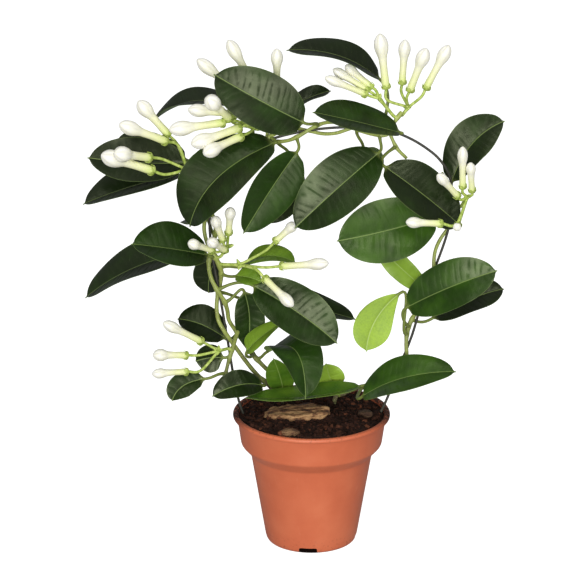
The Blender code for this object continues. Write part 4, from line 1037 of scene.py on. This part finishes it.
def make_sprays(petal, green):
    """Each spray as two pieces: its petals, and its peduncle with pedicels, calyxes and bracts."""
    for index, (name, stem, near, head, buds) in enumerate(SPRAYS):
        rng = np.random.default_rng(300 + index)
        head = np.asarray(head, float)
        start, leave = STEMS[stem].start_towards(near, head)
        petals, stalks = Mesh(), Mesh()
        path = smooth_route((start, start + leave * 4, (start + leave * 4 + head) / 2, head), TUBE_STEP)
        stalks.add_rings(sweep(path, 1.25 + 0.5 * ease(np.linspace(0, 1, len(path)), 0.7, 1.0), 12))
        for calyx, tip, bulb in buds:
            add_bud(petals, stalks, head, np.asarray(calyx, float), np.asarray(tip, float), bulb, rng)
        add_bracts(stalks, head, rng)
        petals.piece(name + "_petals", "bud", petal, [name])
        stalks.piece(name + "_stalks", "vine", green)


def add_bud(petals, stalks, head, calyx, tip, bulb, rng):
    """One bud. Its corolla is a slim tube that swells into a bulb, whose radius follows the profile, with
    five shallow twisted furrows where the closed lobes overlap. Its calyx is a cup with five points, and its
    pedicel bends from the head into the bud's axis."""
    axis = unit(tip - calyx)
    length = np.linalg.norm(tip - calyx)
    bend = calyx - axis * 0.35 * np.linalg.norm(calyx - head)
    pedicel = smooth_route((head, bend, calyx, calyx + axis * 2), TUBE_STEP)
    stalks.add_rings(sweep(pedicel, np.full(len(pedicel), PEDICEL_RADIUS), 10))

    share = np.linspace(0, 1, BUD_RINGS)
    tube = 1.2 + 0.3 * bulb
    tube_radii = tube * np.interp(share, TUBE_SHARES, TUBE_RADII)
    radii = np.maximum(tube_radii, bulb * np.interp(share, BULB_SHARES, BULB_RADII))
    for _ in range(3):
        radii = np.convolve(np.pad(radii, 1, mode="edge"), (0.25, 0.5, 0.25), mode="valid")
    radii[-1] = bulb * BULB_RADII[-1]
    sway = np.cross(axis, UP) * rng.uniform(-0.02, 0.02) * length
    path = calyx + axis * (share * length)[:, None] + sway * np.sin(math.pi * share)[:, None]
    angles = np.linspace(0, 2 * math.pi, BUD_COLUMNS, endpoint=False)
    furrow = np.maximum(0, np.cos(FURROWS * (angles + FURROW_TWIST * share[:, None]))) ** 4
    furrow = furrow * ease(share, 0.5, 0.8)[:, None]
    corolla = sweep(path, radii[:, None] * (1 - FURROW_DEPTH * furrow), BUD_COLUMNS)
    petals.add_rings(corolla, along=share, furrow=furrow)

    height = np.array((-0.6, 0.0, 0.5, 1.0, 1.0, 0.5, 0.0, -0.6))[:, None]
    inside = np.array((0, 0, 0, 0, 1, 1, 1, 1))[:, None]
    angles = np.linspace(0, 2 * math.pi, 30, endpoint=False)
    reach = 0.8 + 2.6 * np.abs(np.cos(2.5 * angles)) ** 1.3
    out = tube + 0.3 + 0.9 * height * (1 - 0.2 * height)
    radius = np.where(height < 0, 0.7, out) - 0.35 * inside + 0 * angles
    side = unit(np.cross(axis, UP if abs(axis[2]) < 0.8 else BACK))
    around = np.cos(angles)[:, None] * side + np.sin(angles)[:, None] * np.cross(side, axis)
    lift = np.where(height < 0, height * 1.5, height * reach)
    stalks.add_rings(calyx + lift[..., None] * axis + radius[..., None] * around)


def add_bracts(stalks, head, rng):
    """Small scales and undeveloped buds at a spray's head: pointed drops of 3 to 6 mm."""
    for way in unit(rng.normal(size=(5, 3)) + np.array((0, -0.6, 0.5))):
        length = rng.uniform(3.0, 6.0)
        share = np.linspace(0, 1, 9)
        radii = 0.25 + (0.6 + 0.12 * length) * np.sin(math.pi * share**0.8) * (1 - 0.3 * share)
        path = head + way * (share * length)[:, None]
        stalks.add_rings(sweep(path, radii, 10))


def make_stage():
    """A wide floor of white studio paper that glows, as backlit paper does, with a painted shadow under the
    pot, where it is near-black and does not glow, a large softbox in front, four weaker lights low and high
    about the plant, and a dim room."""
    paper, shader, add = new_material("white studio paper", Roughness=0.9, Specular_IOR_Level=0.1)
    from_pot = add("ShaderNodeVectorMath", {0: (add(PLACE), "Object")}, operation="LENGTH")
    # painted shadow under the pot: inside the radius the floor's colour is near-black and its glow is off
    reach = {"From Min": PAINTED_SHADOW_RADIUS, "From Max": PAINTED_SHADOW_RADIUS + 1 * MM}
    outside_painted_shadow = add(RANGE, {"Value": (from_pot, "Value"), **reach})
    glow = add(MATH, {0: outside_painted_shadow, 1: FLOOR_GLOW}, operation="MULTIPLY")
    colour = add(MIX, {0: outside_painted_shadow, 1: linear("1A1410"), 2: linear("E6E6E4")})
    set_inputs(shader, {"Base Color": colour, "Emission Color": linear("FFFFFF"), "Emission Strength": glow})
    mesh = bpy.data.meshes.new("studio_floor")
    corners = [(-FLOOR_REACH, -FLOOR_REACH, 0), (FLOOR_REACH, -FLOOR_REACH, 0)]
    corners += [(FLOOR_REACH, FLOOR_REACH, 0), (-FLOOR_REACH, FLOOR_REACH, 0)]
    mesh.from_pydata(corners, [], [(0, 1, 2, 3)])
    mesh.materials.append(paper)
    floor = bpy.data.objects.new("studio_floor", mesh)
    bpy.context.scene.collection.objects.link(floor)
    floor.visible_diffuse = False
    floor.visible_glossy = False

    world = bpy.data.worlds.new("studio")
    world.use_nodes = True
    background = world.node_tree.nodes["Background"]
    background.inputs["Color"].default_value = linear("F4F6FA")
    background.inputs["Strength"].default_value = ROOM_LIGHT
    bpy.context.scene.world = world

    for name, place, width, height, power in LAMPS:
        lamp = bpy.data.lights.new(name, "AREA")
        lamp.shape = "RECTANGLE"
        lamp.size = width
        lamp.size_y = height
        lamp.energy = power
        obj = bpy.data.objects.new(name, lamp)
        obj.location = place
        towards = np.array(LAMP_AIM) - np.array(place)
        flat = math.hypot(towards[0], towards[1])
        obj.rotation_euler = (math.atan2(flat, -towards[2]), 0, math.atan2(-towards[0], towards[1]))
        bpy.context.scene.collection.objects.link(obj)


def make_camera():
    """A long lens in front of the plant and a little above it, aimed at its middle."""
    lens = bpy.data.cameras.new("camera")
    lens.lens = LENS
    lens.sensor_width = 36.0
    lens.clip_end = 100.0
    camera = bpy.data.objects.new("camera", lens)
    pitch = math.radians(CAMERA_RISE)
    aim_x, aim_z = CAMERA_AIM
    camera.location = (aim_x, -CAMERA_DISTANCE * math.cos(pitch), aim_z + CAMERA_DISTANCE * math.sin(pitch))
    camera.rotation_euler = (math.radians(90) - pitch, 0, 0)
    bpy.context.scene.collection.objects.link(camera)
    bpy.context.scene.camera = camera


def main():
    """Makes the camera, the stage and every piece."""
    make_camera()
    make_stage()
    bpy.context.scene.view_settings.view_transform = "Standard"
    make_pot(pot_material())
    make_compost(compost_material())
    bark = bark_material()
    for row in BARKS:
        make_bark_chunk(*row, bark)
    make_hoop(wire_material())
    make_leaves(leaf_material())
    make_sprays(bud_material(), calyx_material())
    make_vines(vine_material())


main()
